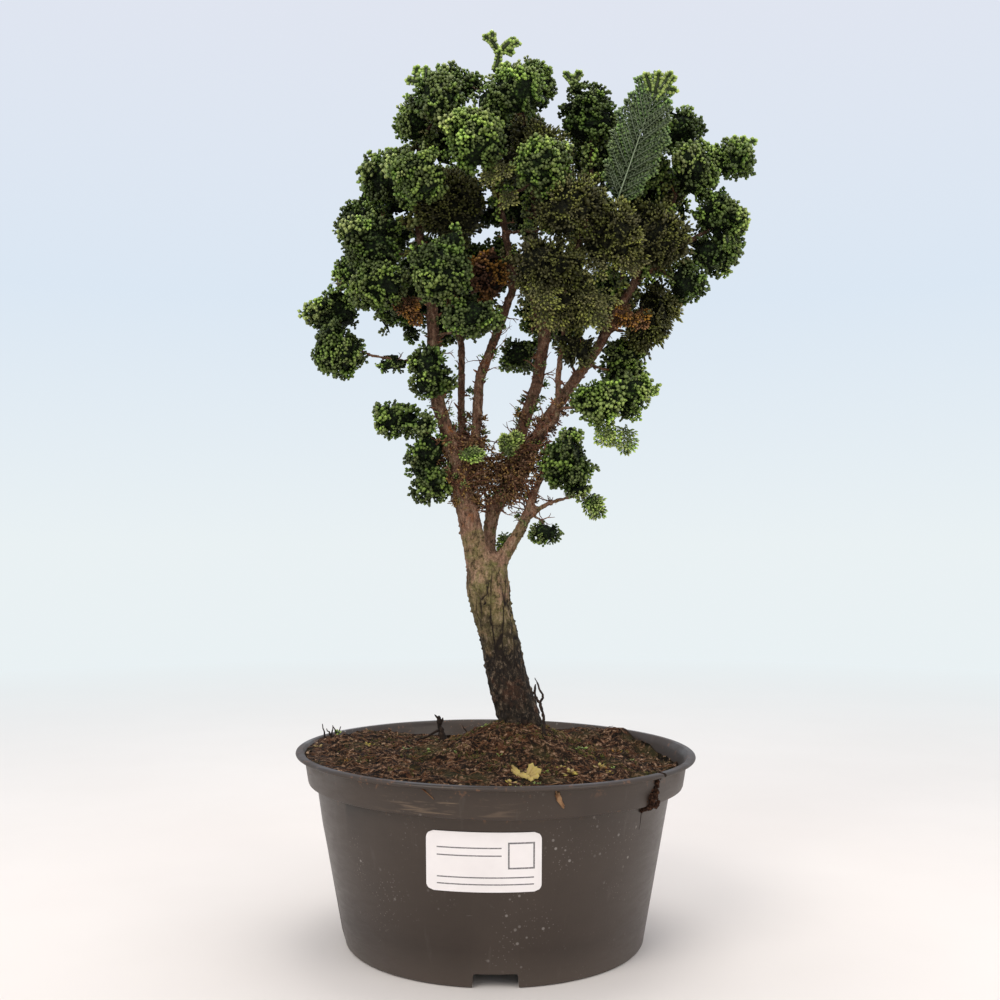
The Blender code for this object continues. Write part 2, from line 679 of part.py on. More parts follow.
def make_core(name, lobe, planes):
    middle, size = Vector(lobe[:3]), lobe[3:]
    bm = bmesh.new()
    bmesh.ops.create_icosphere(bm, subdivisions=1, radius=CORE_SHARE)
    for vert in bm.verts:
        offset = Vector([vert.co[i] * size[i] for i in range(3)])
        vert.co = middle + offset * share_inside(offset, planes)
    return add_object(name, bm)


def fan_outline():
    """Full outline of a fan, down one side and up the other."""
    right = [(u, -v) for u, v in FAN_OUTLINE]
    left = [(u, v) for u, v in reversed(FAN_OUTLINE)]
    return right + [FAN_TIP] + left


def make_fan(name, lobe, direction, roll, planes):
    """Three-lobed flat fan that stands out of the clump's core."""
    middle, size = Vector(lobe[:3]), lobe[3:]
    reach = support(size, direction)
    breadth = FAN_BREADTH * sum(size) / 3
    side = direction.orthogonal().normalized()
    side.rotate(Matrix.Rotation(roll, 3, direction))
    normal = direction.cross(side)
    rings = []
    for face in (-0.5, 0.5):
        ring = []
        for u, v in fan_outline():
            along = direction * reach * (FAN_REACH_ROOT + u * (1.0 - FAN_REACH_ROOT))
            ring.append(along + side * breadth * v + normal * face * FAN_THICKNESS)
        rings.append(ring)
    share = min(share_inside(point, planes) for ring in rings for point in ring)
    if share < SMALLEST_SHARE:
        return None
    bm = bmesh.new()
    add_solid(bm, [[middle + point * share for point in ring] for ring in rings])
    bmesh.ops.recalc_face_normals(bm, faces=bm.faces)
    return add_object(name, bm)


def fan_directions(lobe, turn):
    """Even directions on a cap that faces away from the crown's middle."""
    outward = Vector(lobe[:3]) - CROWN_MIDDLE
    outward.z += 30.0
    frame = outward.normalized().to_track_quat("Z", "Y")
    mean = sum(lobe[3:]) / 3
    count = max(FAN_LEAST, min(FAN_MOST, round(mean / FAN_SPACING)))
    for k in range(count):
        height = 1 - (k + 0.5) / count * (1 - math.cos(CAP_ANGLE))
        ring = math.sqrt(1 - height ** 2)
        angle = turn + k * GOLDEN_ANGLE
        yield frame @ Vector((ring * math.cos(angle), ring * math.sin(angle), height))


def near_tubes(parts, low, high):
    """Grown copies of the limbs and twigs that come near a box."""
    found = []
    for name, points in parts.items():
        reach = max(point[3] for point in points) + 2.0
        inside = True
        for axis in range(3):
            values = [point[axis] for point in points]
            if min(values) - reach > high[axis] or max(values) + reach < low[axis]:
                inside = False
        if inside:
            found.append(make_tube("cut_" + name, points, GAP + 0.05))
    return found


def bounds_of(item):
    points = [vert.co for vert in item.data.vertices]
    low = [min(point[i] for point in points) for i in range(3)]
    high = [max(point[i] for point in points) for i in range(3)]
    return low, high


def clump_colour(name):
    if "dry" in name:
        return DRY_BROWN
    if any(word in name for word in BRIGHT):
        return BRIGHT_GREEN
    if any(word in name for word in OLIVE):
        return OLIVE_GREEN
    return GREEN


def build_clump(name, lobes, clumps, parts, draw):
    pieces = []
    for k, lobe in enumerate(lobes):
        planes = cell_planes(name, lobe, clumps)
        pieces.append(make_core("core", lobe, planes))
        turn = draw.uniform(0, 2 * math.pi)
        for direction in fan_directions(lobe, turn):
            roll = draw.uniform(0, math.pi)
            fan = make_fan("fan", lobe, direction, roll, planes)
            if fan:
                pieces.append(fan)
        if k:
            ends = (lobes[k - 1], lobe)
            pieces.append(make_tube("link", [(*end[:3], LINK_RADIUS) for end in ends]))
    clump = combine(pieces[0], "UNION", pieces[1:])
    cutters = near_tubes(parts, *bounds_of(clump))
    cutters.append(make_flat_plate("cut_spray", GAP))
    cutters.append(make_spray_core("cut_spray_core", GAP))
    combine(clump, "DIFFERENCE", cutters)
    clump.name = name
    return finish(clump, clump_colour(name), 0.75)


def spray_outline(lobes):
    """Pinnate outline of a flat spray in units of its length and half breadth."""
    side = []
    for k in range(lobes):
        start = (k + 0.15) / lobes
        breadth = math.sin(math.pi * (0.18 + 0.72 * (1 - start))) * (0.75 + 0.25 * start)
        side.append((start, 0.42 * breadth))
        side.append((start + 0.75 / lobes, breadth))
    right = [(u, -v) for u, v in side]
    left = [(u, v) for u, v in reversed(side)]
    return [(0.0, -0.08)] + right + [(1.0, 0.0)] + left + [(0.0, 0.08)]


def make_plate(name, base, tip, breadth, lobes, thickness, grow=0.0):
    """Flat pinnate spray from its base to its tip."""
    axis = (tip - base).normalized()
    length = (tip - base).length
    normal = axis.cross(Vector((1.0, 0.25, 0.0))).normalized()
    side = normal.cross(axis)
    rings = []
    for face in (-0.5, 0.5):
        ring = []
        for u, v in spray_outline(lobes):
            along = axis * (length * u + grow * (2 * u - 1))
            across = side * (breadth / 2 * v + math.copysign(grow * 2, v) * (v != 0))
            ring.append(base + along + across + normal * face * (thickness + 2 * grow))
        rings.append(ring)
    bm = bmesh.new()
    add_solid(bm, rings)
    bmesh.ops.recalc_face_normals(bm, faces=bm.faces)
    return add_object(name, bm)


def make_flat_plate(name, grow=0.0):
    return make_plate(name, SPRAY_BASE, SPRAY_TIP, SPRAY_BREADTH, SPRAY_LOBES,
                      SPRAY_THICKNESS, grow)


def make_spray_core(name, grow=0.0):
    bm = bmesh.new()
    bmesh.ops.create_icosphere(bm, subdivisions=1, radius=SPRAY_CORE + 1.3 * grow)
    bmesh.ops.translate(bm, verts=bm.verts, vec=SPRAY_BASE)
    return add_object(name, bm)


def build_flat_spray(parts):
    spray = make_flat_plate("clump_flat_spray")
    combine(spray, "UNION", [make_spray_core("core")])
    combine(spray, "DIFFERENCE", near_tubes(parts, *bounds_of(spray)))
    return finish(spray, BLUE_GREEN, 0.7)


def build_fallen_spray():
    """Small shed spray that lies on the soil in front."""
    spray = make_plate("fallen_spray", FALLEN_BASE, FALLEN_TIP, FALLEN_BREADTH,
                       FALLEN_LOBES, FAN_THICKNESS)
    rest_on_soil(spray, *FALLEN_PLACE)
    return finish(spray, FALLEN_COLOUR, 0.6)


def rest_on_soil(item, x, y):
    item.data.transform(Matrix.Translation((x, y, 0.0)))
    lift = max(soil_height(v.co.x, v.co.y) - v.co.z for v in item.data.vertices)
    item.data.transform(Matrix.Translation((0.0, 0.0, lift + FALLEN_CLEARANCE)))


def main():
    clear_scene()
    build_pot()
    build_soil()
    build_label()
    parts = wood_parts()
    build_wood(parts)
    build_stub()
    clumps = all_clumps()
    draw = random.Random(SEED + 1)
    for name, lobes in clumps.items():
        build_clump(name, lobes, clumps, parts, draw)
    build_flat_spray(parts)
    build_fallen_spray()


main()
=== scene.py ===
import json
import math
import random

import bmesh
import bpy
import numpy as np
from mathutils import Matrix, Vector, noise
from mathutils.bvhtree import BVHTree


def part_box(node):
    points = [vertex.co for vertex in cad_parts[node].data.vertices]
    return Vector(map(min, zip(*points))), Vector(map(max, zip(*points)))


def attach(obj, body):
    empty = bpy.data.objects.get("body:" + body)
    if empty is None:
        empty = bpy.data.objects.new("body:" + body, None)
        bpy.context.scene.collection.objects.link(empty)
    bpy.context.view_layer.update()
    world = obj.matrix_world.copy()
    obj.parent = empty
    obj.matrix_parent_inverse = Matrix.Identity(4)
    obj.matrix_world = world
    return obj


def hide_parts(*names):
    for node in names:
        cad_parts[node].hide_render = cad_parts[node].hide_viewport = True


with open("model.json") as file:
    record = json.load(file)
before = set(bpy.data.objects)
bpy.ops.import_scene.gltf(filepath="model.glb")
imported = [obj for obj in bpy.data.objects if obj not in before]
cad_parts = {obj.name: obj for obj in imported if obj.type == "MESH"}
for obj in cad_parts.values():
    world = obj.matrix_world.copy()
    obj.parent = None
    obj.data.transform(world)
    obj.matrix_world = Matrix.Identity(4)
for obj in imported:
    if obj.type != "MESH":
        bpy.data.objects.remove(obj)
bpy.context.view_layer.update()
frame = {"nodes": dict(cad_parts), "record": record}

# The looks of a potted dwarf cypress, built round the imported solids. Metres, front at -Y.
cadNodes = frame["nodes"]
slotOfNode = {part["node"]: part["material_slot"] for part in frame["record"]["subparts"]}
mm = 0.001

photoCamera = {
    "place": (0.0, -0.5816, 0.1871),
    "pitch": math.radians(2.1),      # looks slightly up
    "yaw": math.radians(-0.2),
    "lens": 43.2,
    "sensor": 36.0,
}


# Shader helpers
def link(tree, value, socket):
    if isinstance(value, bpy.types.NodeSocket):
        tree.links.new(value, socket)
    else:
        socket.default_value = value


def addNode(tree, kind, values=None, **settings):
    made = tree.nodes.new(kind)
    for key, value in settings.items():
        setattr(made, key, value)
    for key, value in (values or {}).items():
        link(tree, value, made.inputs[key])
    return made


def newMaterial(name, roughness=0.6, specular=0.5):
    material = bpy.data.materials.new(name)
    material.use_nodes = True
    shader = material.node_tree.nodes["Principled BSDF"]
    shader.inputs["Roughness"].default_value = roughness
    shader.inputs["Specular IOR Level"].default_value = specular
    return material, material.node_tree, shader


def objectPoint(tree, scale=(1, 1, 1), place=(0, 0, 0)):
    coords = addNode(tree, "ShaderNodeTexCoord")
    mapping = addNode(tree, "ShaderNodeMapping",
                      {"Vector": coords.outputs["Object"], "Scale": scale, "Location": place})
    return mapping.outputs["Vector"]


def noiseValue(tree, point, scale, detail=4.0, rough=0.6, distortion=0.0):
    made = addNode(tree, "ShaderNodeTexNoise", {"Vector": point, "Scale": scale, "Detail": detail,
                                                "Roughness": rough, "Distortion": distortion})
    return made.outputs["Fac"]


def ramp(tree, value, stops):
    made = addNode(tree, "ShaderNodeValToRGB", {"Fac": value})
    bar = made.color_ramp
    while len(bar.elements) < len(stops):
        bar.elements.new(0.5)
    for element, (place, colour) in zip(bar.elements, stops):
        element.position = place
        element.color = (*colour, 1.0)
    return made.outputs["Color"]


def rangeOf(tree, value, low, high, newLow=0.0, newHigh=1.0):
    made = addNode(tree, "ShaderNodeMapRange", {"Value": value, "From Min": low, "From Max": high,
                                                "To Min": newLow, "To Max": newHigh})
    return made.outputs["Result"]


def sums(tree, operation, a, b=0.0):
    made = addNode(tree, "ShaderNodeMath", {0: a, 1: b}, operation=operation)
    return made.outputs["Value"]


def blend(tree, share, a, b, mode="MIX"):
    made = addNode(tree, "ShaderNodeMix", data_type="RGBA", blend_type=mode)
    link(tree, share, made.inputs["Factor"])
    for socket, value in ((made.inputs[6], a), (made.inputs[7], b)):
        link(tree, (*value, 1.0) if isinstance(value, tuple) else value, socket)
    return made.outputs[2]


def attribute(tree, name):
    return addNode(tree, "ShaderNodeAttribute", attribute_name=name).outputs["Fac"]


def heightOf(tree):
    point = addNode(tree, "ShaderNodeTexCoord").outputs["Object"]
    return addNode(tree, "ShaderNodeSeparateXYZ", {"Vector": point}).outputs["Z"]


def bump(tree, shader, height, distance, strength=1.0):
    made = addNode(tree, "ShaderNodeBump", {"Height": height, "Distance": distance,
                                            "Strength": strength})
    tree.links.new(made.outputs["Normal"], shader.inputs["Normal"])


# Mesh helpers
def newPiece(name, mesh, *materials):
    piece = bpy.data.objects.new(name, mesh)
    bpy.context.scene.collection.objects.link(piece)
    for material in materials:
        mesh.materials.append(material)
    return piece


def meshOf(name, bm):
    mesh = bpy.data.meshes.new(name)
    bm.to_mesh(mesh)
    bm.free()
    return mesh


def mergedCopy(node):
    bm = bmesh.new()
    bm.from_mesh(cadNodes[node].data)
    bmesh.ops.remove_doubles(bm, verts=bm.verts, dist=0.02 * mm)
    return bm


def freeze(piece):
    graph = bpy.context.evaluated_depsgraph_get()
    mesh = bpy.data.meshes.new_from_object(piece.evaluated_get(graph))
    piece.modifiers.clear()
    old = piece.data
    piece.data = mesh
    bpy.data.meshes.remove(old)
    return piece


def setInputs(modifier, values):
    for item in modifier.node_group.interface.items_tree:
        if item.item_type == "SOCKET" and item.in_out == "INPUT" and item.name in values:
            modifier[item.identifier] = values[item.name]


def growOn(piece, tree, values):
    modifier = piece.modifiers.new("grow", "NODES")
    modifier.node_group = tree
    setInputs(modifier, values)
    return freeze(piece)


def dress(piece, slot, *replaced):
    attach(piece, "root")
    if replaced:
        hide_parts(*replaced)


def lathe(name, profile, steps):
    bm = bmesh.new()
    rings = []
    for radius, height in profile:
        turns = [2 * math.pi * k / steps for k in range(steps if radius > 1e-6 else 1)]
        rings.append([bm.verts.new((radius * math.cos(a) * mm, radius * math.sin(a) * mm, height * mm))
                      for a in turns])
    for below, above in zip(rings, rings[1:]):
        for k in range(steps):
            corners = [below[k % len(below)], below[(k + 1) % len(below)],
                       above[(k + 1) % len(above)], above[k % len(above)]]
            bm.faces.new(list(dict.fromkeys(corners)))
    bmesh.ops.recalc_face_normals(bm, faces=bm.faces)
    return meshOf(name, bm)


def addTube(bm, points, sides):
    side = None
    rings = []
    for k, (point, radius) in enumerate(points):
        ahead = points[min(k + 1, len(points) - 1)][0] - points[max(k - 1, 0)][0]
        ahead.normalize()
        side = side or ahead.orthogonal()
        side = (side - ahead * side.dot(ahead)).normalized()
        other = ahead.cross(side)
        turns = [2 * math.pi * step / sides for step in range(sides)]
        rings.append([bm.verts.new(point + (side * math.cos(a) + other * math.sin(a)) * radius)
                      for a in turns])
    for below, above in zip(rings, rings[1:]):
        for k in range(sides):
            j = (k + 1) % sides
            bm.faces.new((below[k], below[j], above[j], above[k]))
    bm.faces.new(list(reversed(rings[0])))
    bm.faces.new(rings[-1])


print("foliage")
foliage = {
    "apartBehind": 1.3,           # the clumps behind carry larger fans, further apart
    "perArea": 0.17 / mm ** 2,    # fans for each area of clump
    "spacing": 2.0 * mm,
    "least": 0.75,
    "most": 1.15,
    "lean": 0.50,
    "lift": 0.35,
    "fanReach": 5.0 * mm,         # kept free inside a clump's outer side for its fans
    "inward": 1.14,               # swells the side that faces the crown's middle
    "lump": 4.4 * mm,             # lobes of a clump: their height and their size
    "lumpSize": 11.0,
    "crownMiddle": Vector((0.017, 0.008, 0.335)),
}
# A fan of scale leaves: angles of its ribs, their reach, a knob's length and breadth, in mm
knobbyFan = {"ribs": (-60, -31, 0, 31, 60), "reach": 3.1, "knob": (2.4, 2.2), "cup": 0.5}
slimFan = {"ribs": (-42, -21, 0, 21, 42), "reach": 4.3, "knob": (2.8, 1.25), "cup": 0.3}


def addBud(bm, layer, base, direction, upright, length, breadth, depth=0.8, waist=0.64):
    side = direction.cross(upright).normalized()
    upright = side.cross(direction)
    middle = base + direction * length * waist
    half = breadth / 2
    ring = [bm.verts.new(middle + side * half), bm.verts.new(middle + upright * half * depth),
            bm.verts.new(middle - side * half), bm.verts.new(middle - upright * half * depth)]
    foot = bm.verts.new(base)
    tip = bm.verts.new(base + direction * length)
    foot[layer] = 0.0
    tip[layer] = 1.0
    for vert in ring:
        vert[layer] = 0.7
    for a, b in zip(ring, ring[1:] + ring[:1]):
        bm.faces.new((foot, b, a))
        bm.faces.new((tip, a, b))


def fanMesh(name, fan, seed):
    draw = random.Random(seed)
    bm = bmesh.new()
    layer = bm.verts.layers.float.new("bud")
    up = Vector((0, 0, 1))
    length, breadth = fan["knob"]
    addBud(bm, layer, Vector(), Vector((0, 1, 0)), up, fan["reach"] * 1.1 * mm, fan["reach"] * mm, 0.2)
    # The middle bud stays nearer the painted shade colour
    for vert in bm.verts:
        vert[layer] *= 0.5
    widest = fan["ribs"][-1]
    for k, angle in enumerate(fan["ribs"]):
        turn = math.radians(angle + draw.uniform(-7, 7))
        rise = fan["cup"] * (angle / widest) ** 2 + draw.uniform(-0.2, 0.2)
        out = Vector((math.sin(turn), math.cos(turn), rise)).normalized()
        reach = fan["reach"] * draw.uniform(0.85, 1.12) * (1.0 - 0.15 * abs(angle) / widest) * mm
        size = draw.uniform(0.88, 1.12) * mm
        roll = Vector((draw.uniform(-1, 1), 0, 1))
        addBud(bm, layer, out * (reach - 0.4 * mm), out, roll, length * size, breadth * size)
        turn += math.radians(38 if k % 2 else -38)
        heading = Vector((math.sin(turn), math.cos(turn), rise + draw.uniform(-0.2, 0.6))).normalized()
        addBud(bm, layer, out * reach * 0.45, heading, roll, length * 0.85 * size, breadth * 0.8 * size)
    bmesh.ops.recalc_face_normals(bm, faces=bm.faces)
    mesh = meshOf(name, bm)
    mesh.shade_smooth()
    return mesh


def fanSet(name, fan):
    group = bpy.data.collections.new(name)
    for k in range(5):
        label = "%s%d" % (name, k)
        group.objects.link(bpy.data.objects.new(label, fanMesh(label, fan, k)))
    return group


def scatterTree(name, axis="Y"):
    tree = bpy.data.node_groups.new(name, "GeometryNodeTree")
    sockets = (("Geometry", "NodeSocketGeometry"), ("Items", "NodeSocketCollection"),
               ("Per Area", "NodeSocketFloat"), ("Spacing", "NodeSocketFloat"),
               ("Least", "NodeSocketFloat"), ("Most", "NodeSocketFloat"),
               ("Lean", "NodeSocketFloat"), ("Lift", "NodeSocketFloat"),
               ("Seed", "NodeSocketInt"), ("Cover", "NodeSocketMaterial"),
               ("Keep Ground", "NodeSocketBool"))
    for label, kind in sockets:
        tree.interface.new_socket(name=label, in_out="INPUT", socket_type=kind)
    tree.interface.new_socket(name="Geometry", in_out="OUTPUT", socket_type="NodeSocketGeometry")
    given = addNode(tree, "NodeGroupInput").outputs
    grow = addNode(tree, "GeometryNodeInputNamedAttribute", {"Name": "grow"},
                   data_type="FLOAT_VECTOR").outputs["Attribute"]
    weight = addNode(tree, "GeometryNodeInputNamedAttribute", {"Name": "weight"},
                     data_type="FLOAT").outputs["Attribute"]
    points = addNode(tree, "GeometryNodeDistributePointsOnFaces", distribute_method="POISSON")
    for socket, value in (("Mesh", given["Geometry"]), ("Distance Min", given["Spacing"]),
                          ("Density Max", given["Per Area"]), ("Density Factor", weight),
                          ("Seed", given["Seed"])):
        tree.links.new(value, points.inputs[socket])
    jitter = addNode(tree, "FunctionNodeRandomValue", {0: (-1, -1, -1), 1: (1, 1, 1), "Seed": 1},
                     data_type="FLOAT_VECTOR").outputs[0]
    leaning = addNode(tree, "ShaderNodeVectorMath", {0: jitter, "Scale": given["Lean"]},
                      operation="SCALE").outputs[0]
    lifting = addNode(tree, "ShaderNodeVectorMath",
                      {0: points.outputs["Normal"], "Scale": given["Lift"]},
                      operation="SCALE").outputs[0]
    first = addNode(tree, "ShaderNodeVectorMath", {0: grow, 1: leaning}, operation="ADD").outputs[0]
    aim = addNode(tree, "ShaderNodeVectorMath", {0: first, 1: lifting}, operation="ADD").outputs[0]
    aimed = addNode(tree, "FunctionNodeAlignRotationToVector", {"Vector": aim}, axis=axis)
    spin = addNode(tree, "FunctionNodeRandomValue",
                   {0: [-math.pi if axis == letter else 0.0 for letter in "XYZ"],
                    1: [math.pi if axis == letter else 0.0 for letter in "XYZ"], "Seed": 2},
                   data_type="FLOAT_VECTOR").outputs[0]
    turned = addNode(tree, "FunctionNodeRotateRotation",
                     {"Rotation": aimed.outputs["Rotation"], "Rotate By": spin},
                     rotation_space="LOCAL")
    size = addNode(tree, "FunctionNodeRandomValue", {2: given["Least"], 3: given["Most"], "Seed": 3},
                   data_type="FLOAT").outputs[1]
    swelling = rangeOf(tree, addNode(tree, "ShaderNodeTexNoise", {"Scale": 130.0}).outputs["Fac"],
                       0.3, 0.7, 0.82, 1.18)
    size = sums(tree, "MULTIPLY", size, swelling)
    variants = addNode(tree, "GeometryNodeCollectionInfo",
                       {"Collection": given["Items"], "Separate Children": True,
                        "Reset Children": True})
    placed = addNode(tree, "GeometryNodeInstanceOnPoints",
                     {"Points": points.outputs["Points"], "Instance": variants.outputs[0],
                      "Pick Instance": True, "Rotation": turned.outputs[0], "Scale": size})
    tint = addNode(tree, "FunctionNodeRandomValue", {2: 0.0, 3: 1.0, "Seed": 4},
                   data_type="FLOAT").outputs[1]
    tinted = addNode(tree, "GeometryNodeStoreNamedAttribute",
                     {"Geometry": placed.outputs[0], "Name": "tint", "Value": tint},
                     data_type="FLOAT", domain="INSTANCE")
    tinted = addNode(tree, "GeometryNodeStoreNamedAttribute",
                     {"Geometry": tinted.outputs[0], "Name": "ground", "Value": False},
                     data_type="BOOLEAN", domain="INSTANCE")
    kept = addNode(tree, "GeometryNodeSwitch", {"Switch": given["Keep Ground"],
                                                "True": given["Geometry"]}, input_type="GEOMETRY")
    joined = addNode(tree, "GeometryNodeJoinGeometry")
    tree.links.new(kept.outputs[0], joined.inputs[0])
    tree.links.new(tinted.outputs[0], joined.inputs[0])
    real = addNode(tree, "GeometryNodeRealizeInstances", {"Geometry": joined.outputs[0]})
    ground = addNode(tree, "GeometryNodeInputNamedAttribute", {"Name": "ground"},
                     data_type="BOOLEAN").outputs["Attribute"]
    scattered = addNode(tree, "FunctionNodeBooleanMath", {0: ground}, operation="NOT").outputs[0]
    covered = addNode(tree, "GeometryNodeSetMaterial",
                      {"Geometry": real.outputs[0], "Selection": scattered,
                       "Material": given["Cover"]})
    addNode(tree, "NodeGroupOutput", {"Geometry": covered.outputs[0]})
    return tree


def leafMaterial(name, paintedShade, leaf, tip, gloss=0.42, rib=None, hues=(0.468, 0.515)):
    material, tree, shader = newMaterial(name, gloss, 0.28)
    shader.inputs["Specular Tint"].default_value = (1.0, 0.97, 0.80, 1.0)
    bud, tint, outer = (attribute(tree, word) for word in ("bud", "tint", "outer"))
    patches = noiseValue(tree, objectPoint(tree), 48.0, 2.0)
    # Tips take the tip colour further down where the painted light share is high: partly new growth on the outer fans,
    # partly painted highlight
    freshAndPaintedLight = rangeOf(tree, sums(tree, "ADD", sums(tree, "MULTIPLY", outer, 0.8),
                               sums(tree, "MULTIPLY", tint, 0.35)), 0.30, 1.05)
    # Bud feet take the dark first colour: painted shade where the buds meet
    body = blend(tree, rangeOf(tree, bud, 0.05, 0.62), paintedShade, leaf)
    shining = sums(tree, "MULTIPLY", rangeOf(tree, bud, 0.5, 0.95), freshAndPaintedLight)
    colour = blend(tree, shining, body, tip)
    # Painted light and shade: the colour is scaled from 0.42 on a clump's shaded inner side to 1.3 on its lit outer
    # side, with random patches
    paintedLightAndPatches = rangeOf(tree, sums(tree, "ADD", outer, sums(tree, "MULTIPLY", patches, 0.5)),
                  0.25, 1.15, 0.42, 1.3)
    grey = addNode(tree, "ShaderNodeCombineColor", {0: paintedLightAndPatches, 1: paintedLightAndPatches, 2: paintedLightAndPatches}).outputs[0]
    colour = blend(tree, 1.0, colour, grey, "MULTIPLY")
    mixed = sums(tree, "ADD", sums(tree, "MULTIPLY", tint, 0.5), sums(tree, "MULTIPLY", patches, 0.5))
    shift = addNode(tree, "ShaderNodeHueSaturation",
                    {"Hue": rangeOf(tree, mixed, 0.2, 0.8, *hues),
                     "Saturation": rangeOf(tree, tint, 0, 1, 0.85, 1.1),
                     "Value": rangeOf(tree, tint, 0, 1, 0.8, 1.2), "Color": colour})
    rib = rib or tuple(0.6 * tip[k] + 0.3 * leaf[k] + 0.03 for k in range(3))
    colour = blend(tree, attribute(tree, "rib"), shift.outputs[0], rib)
    tree.links.new(colour, shader.inputs["Base Color"])
    scales = noiseValue(tree, objectPoint(tree), 1500.0, 1.0)
    bump(tree, shader, scales, 0.15 * mm, 0.6)
    return material


# A clump's heart is painted shade: a dark body inside the fans, leaf colour at the cell middles going to near-black at
# the cell edges, with darker speckles
def paintedShadeHeartMaterial(name, paintedShade, leaf):
    material, tree, shader = newMaterial(name, 0.85, 0.15)
    point = objectPoint(tree)
    cells = addNode(tree, "ShaderNodeTexVoronoi", {"Vector": point, "Scale": 560.0,
                                                   "Randomness": 1.0}).outputs["Distance"]
    speckle = noiseValue(tree, point, 500.0, 3.0)
    # painted shade: near-black in the gaps between the cells
    colour = ramp(tree, cells, ((0.10, leaf), (0.42, paintedShade), (0.75, (0.003, 0.004, 0.002))))
    deeperPaintedShade = tuple(0.35 * part for part in paintedShade)
    colour = blend(tree, rangeOf(tree, speckle, 0.40, 0.62), colour, deeperPaintedShade)
    tree.links.new(colour, shader.inputs["Base Color"])
    bump(tree, shader, sums(tree, "SUBTRACT", 1.0, cells), 1.2 * mm, 1.0)
    return material


leafTones = {                     # painted shade at the bud feet, leaf, and tip of each kind of foliage
    "foliage_green": ((0.010, 0.018, 0.004), (0.056, 0.097, 0.018), (0.37, 0.46, 0.115)),
    "foliage_bright": ((0.014, 0.027, 0.005), (0.090, 0.148, 0.028), (0.47, 0.57, 0.140)),
    "foliage_olive": ((0.018, 0.017, 0.006), (0.074, 0.075, 0.018), (0.23, 0.23, 0.060)),
    "foliage_blue": ((0.014, 0.026, 0.012), (0.048, 0.086, 0.036), (0.17, 0.25, 0.085)),
    "foliage_dry": ((0.032, 0.012, 0.005), (0.125, 0.044, 0.014), (0.32, 0.145, 0.045)),
}
leafMaterials = {}
paintedShadeHearts = {}
for slot, (paintedShade, leaf, tip) in leafTones.items():
    kind = slot.split("_")[1].capitalize()
    leafMaterials[slot] = leafMaterial("scaleLeaf" + kind, paintedShade, leaf, tip, 0.7 if kind == "Dry" else 0.42,
                                       None, (0.494, 0.52) if kind == "Dry" else (0.468, 0.515))
    paintedShadeHearts[slot] = paintedShadeHeartMaterial("clumpHeart" + kind, paintedShade, leaf)
knobbyFans = fanSet("knobbyFan", knobbyFan)
slimFans = fanSet("slimFan", slimFan)
scatter = scatterTree("fansOnClump")
droopOf = {"clump_hanging_upper": -0.55, "clump_hanging_lower": -0.7, "clump_centre_right": -0.3,
           "clump_under_right": -0.3, "clump_right_low": -0.2, "clump_under_fork": -0.3}
slimClumps = ("hanging", "inner", "thin_limb", "under_right", "clump_centre_right", "clump_centre")
toneOf = {"clump_top_left": "foliage_bright", "clump_centre_left": "foliage_green", "clump_centre_low": "foliage_green",
          "clump_under_fork": "foliage_green"}
# Small moves in mm and scales that set a clump's leaves inside its solid
settle = {
    "clump_top_left": ((4, 0, -1), (0.80, 1, 0.90)),
    "clump_top_front": ((-2, 0, 4), (1.1, 1, 1.15)),
    "clump_inner_left": ((0, 0, 4), (1.1, 1, 1.1)),
    "clump_back_upper": ((-2, 0, 2), (1.1, 1, 1.1)),
    "clump_centre": ((4, 0, 4), (1.25, 1, 1.2)),
    "clump_centre_right": ((-3, 0, -2), (1.15, 1, 1.1)),
    "clump_right_inner": ((0, 0, -3), (1.1, 1, 1.15)),
    "clump_top_row": ((-4, 0, -4), (1.05, 1, 0.85)),
    "clump_left_upper": ((1, 0, -4), (0.95, 1, 0.85)),
    "clump_left_edge_high": ((4, 0, -4), (0.85, 1, 0.85)),
    "clump_left_edge": ((3, 0, 0), (0.9, 1, 0.9)),
    "clump_far_left": ((2, 0, 0), (0.95, 1, 0.95)),
    "clump_branchlet": ((3, 0, -2), (1, 1, 0.7)),
    "clump_left_low": ((-2, 0, 2), (0.9, 1, 0.85)),
    "clump_limb_a": ((1, 0, -3), (0.8, 1, 1.1)),
    "clump_lower_left": ((2, 0, -5), (0.90, 1, 0.62)),
    "clump_low_left": ((4, 0, 1), (0.82, 1, 0.95)),
    "clump_fork_right": ((-3, 0, 2), (0.78, 1, 0.85)),
    "clump_lower_right": ((-1, 0, 0), (0.93, 1, 0.75)),
    "clump_right_low": ((-4, 0, 3), (0.85, 1, 0.85)),
    "clump_right_dark": ((-1, 0, 0), (0.85, 1, 0.95)),
    "clump_under_right": ((-3, 0, 0), (0.85, 1, 0.92)),
    "clump_right_edge": ((-2, 0, 1), (0.88, 1, 0.92)),
    "clump_right_tip": ((-3, 0, -4), (0.95, 1, 0.9)),
    "clump_right_top": ((1, 0, -2), (0.88, 1, 0.92)),
    "clump_back_top": ((-5, 0, -1), (0.97, 1, 0.95)),
    "clump_back_top_right": ((3, 0, -5), (0.72, 1, 0.75)),
    "clump_back_upper_right": ((3, 0, 1), (1.05, 1, 0.95)),
    "clump_right_shoulder": ((-2, 0, -3), (0.85, 1, 0.85)),
    "clump_top_right": ((-2, 0, 0), (0.85, 1, 0.9)),
    "clump_behind_gap": ((0, 0, 0), (0.95, 1, 0.75)),
    "clump_thin_limb": ((-1, 0, 0), (0.8, 1, 1)),
    "clump_under_fork": ((0, 0, 0), (0.8, 1, 0.8)),
}


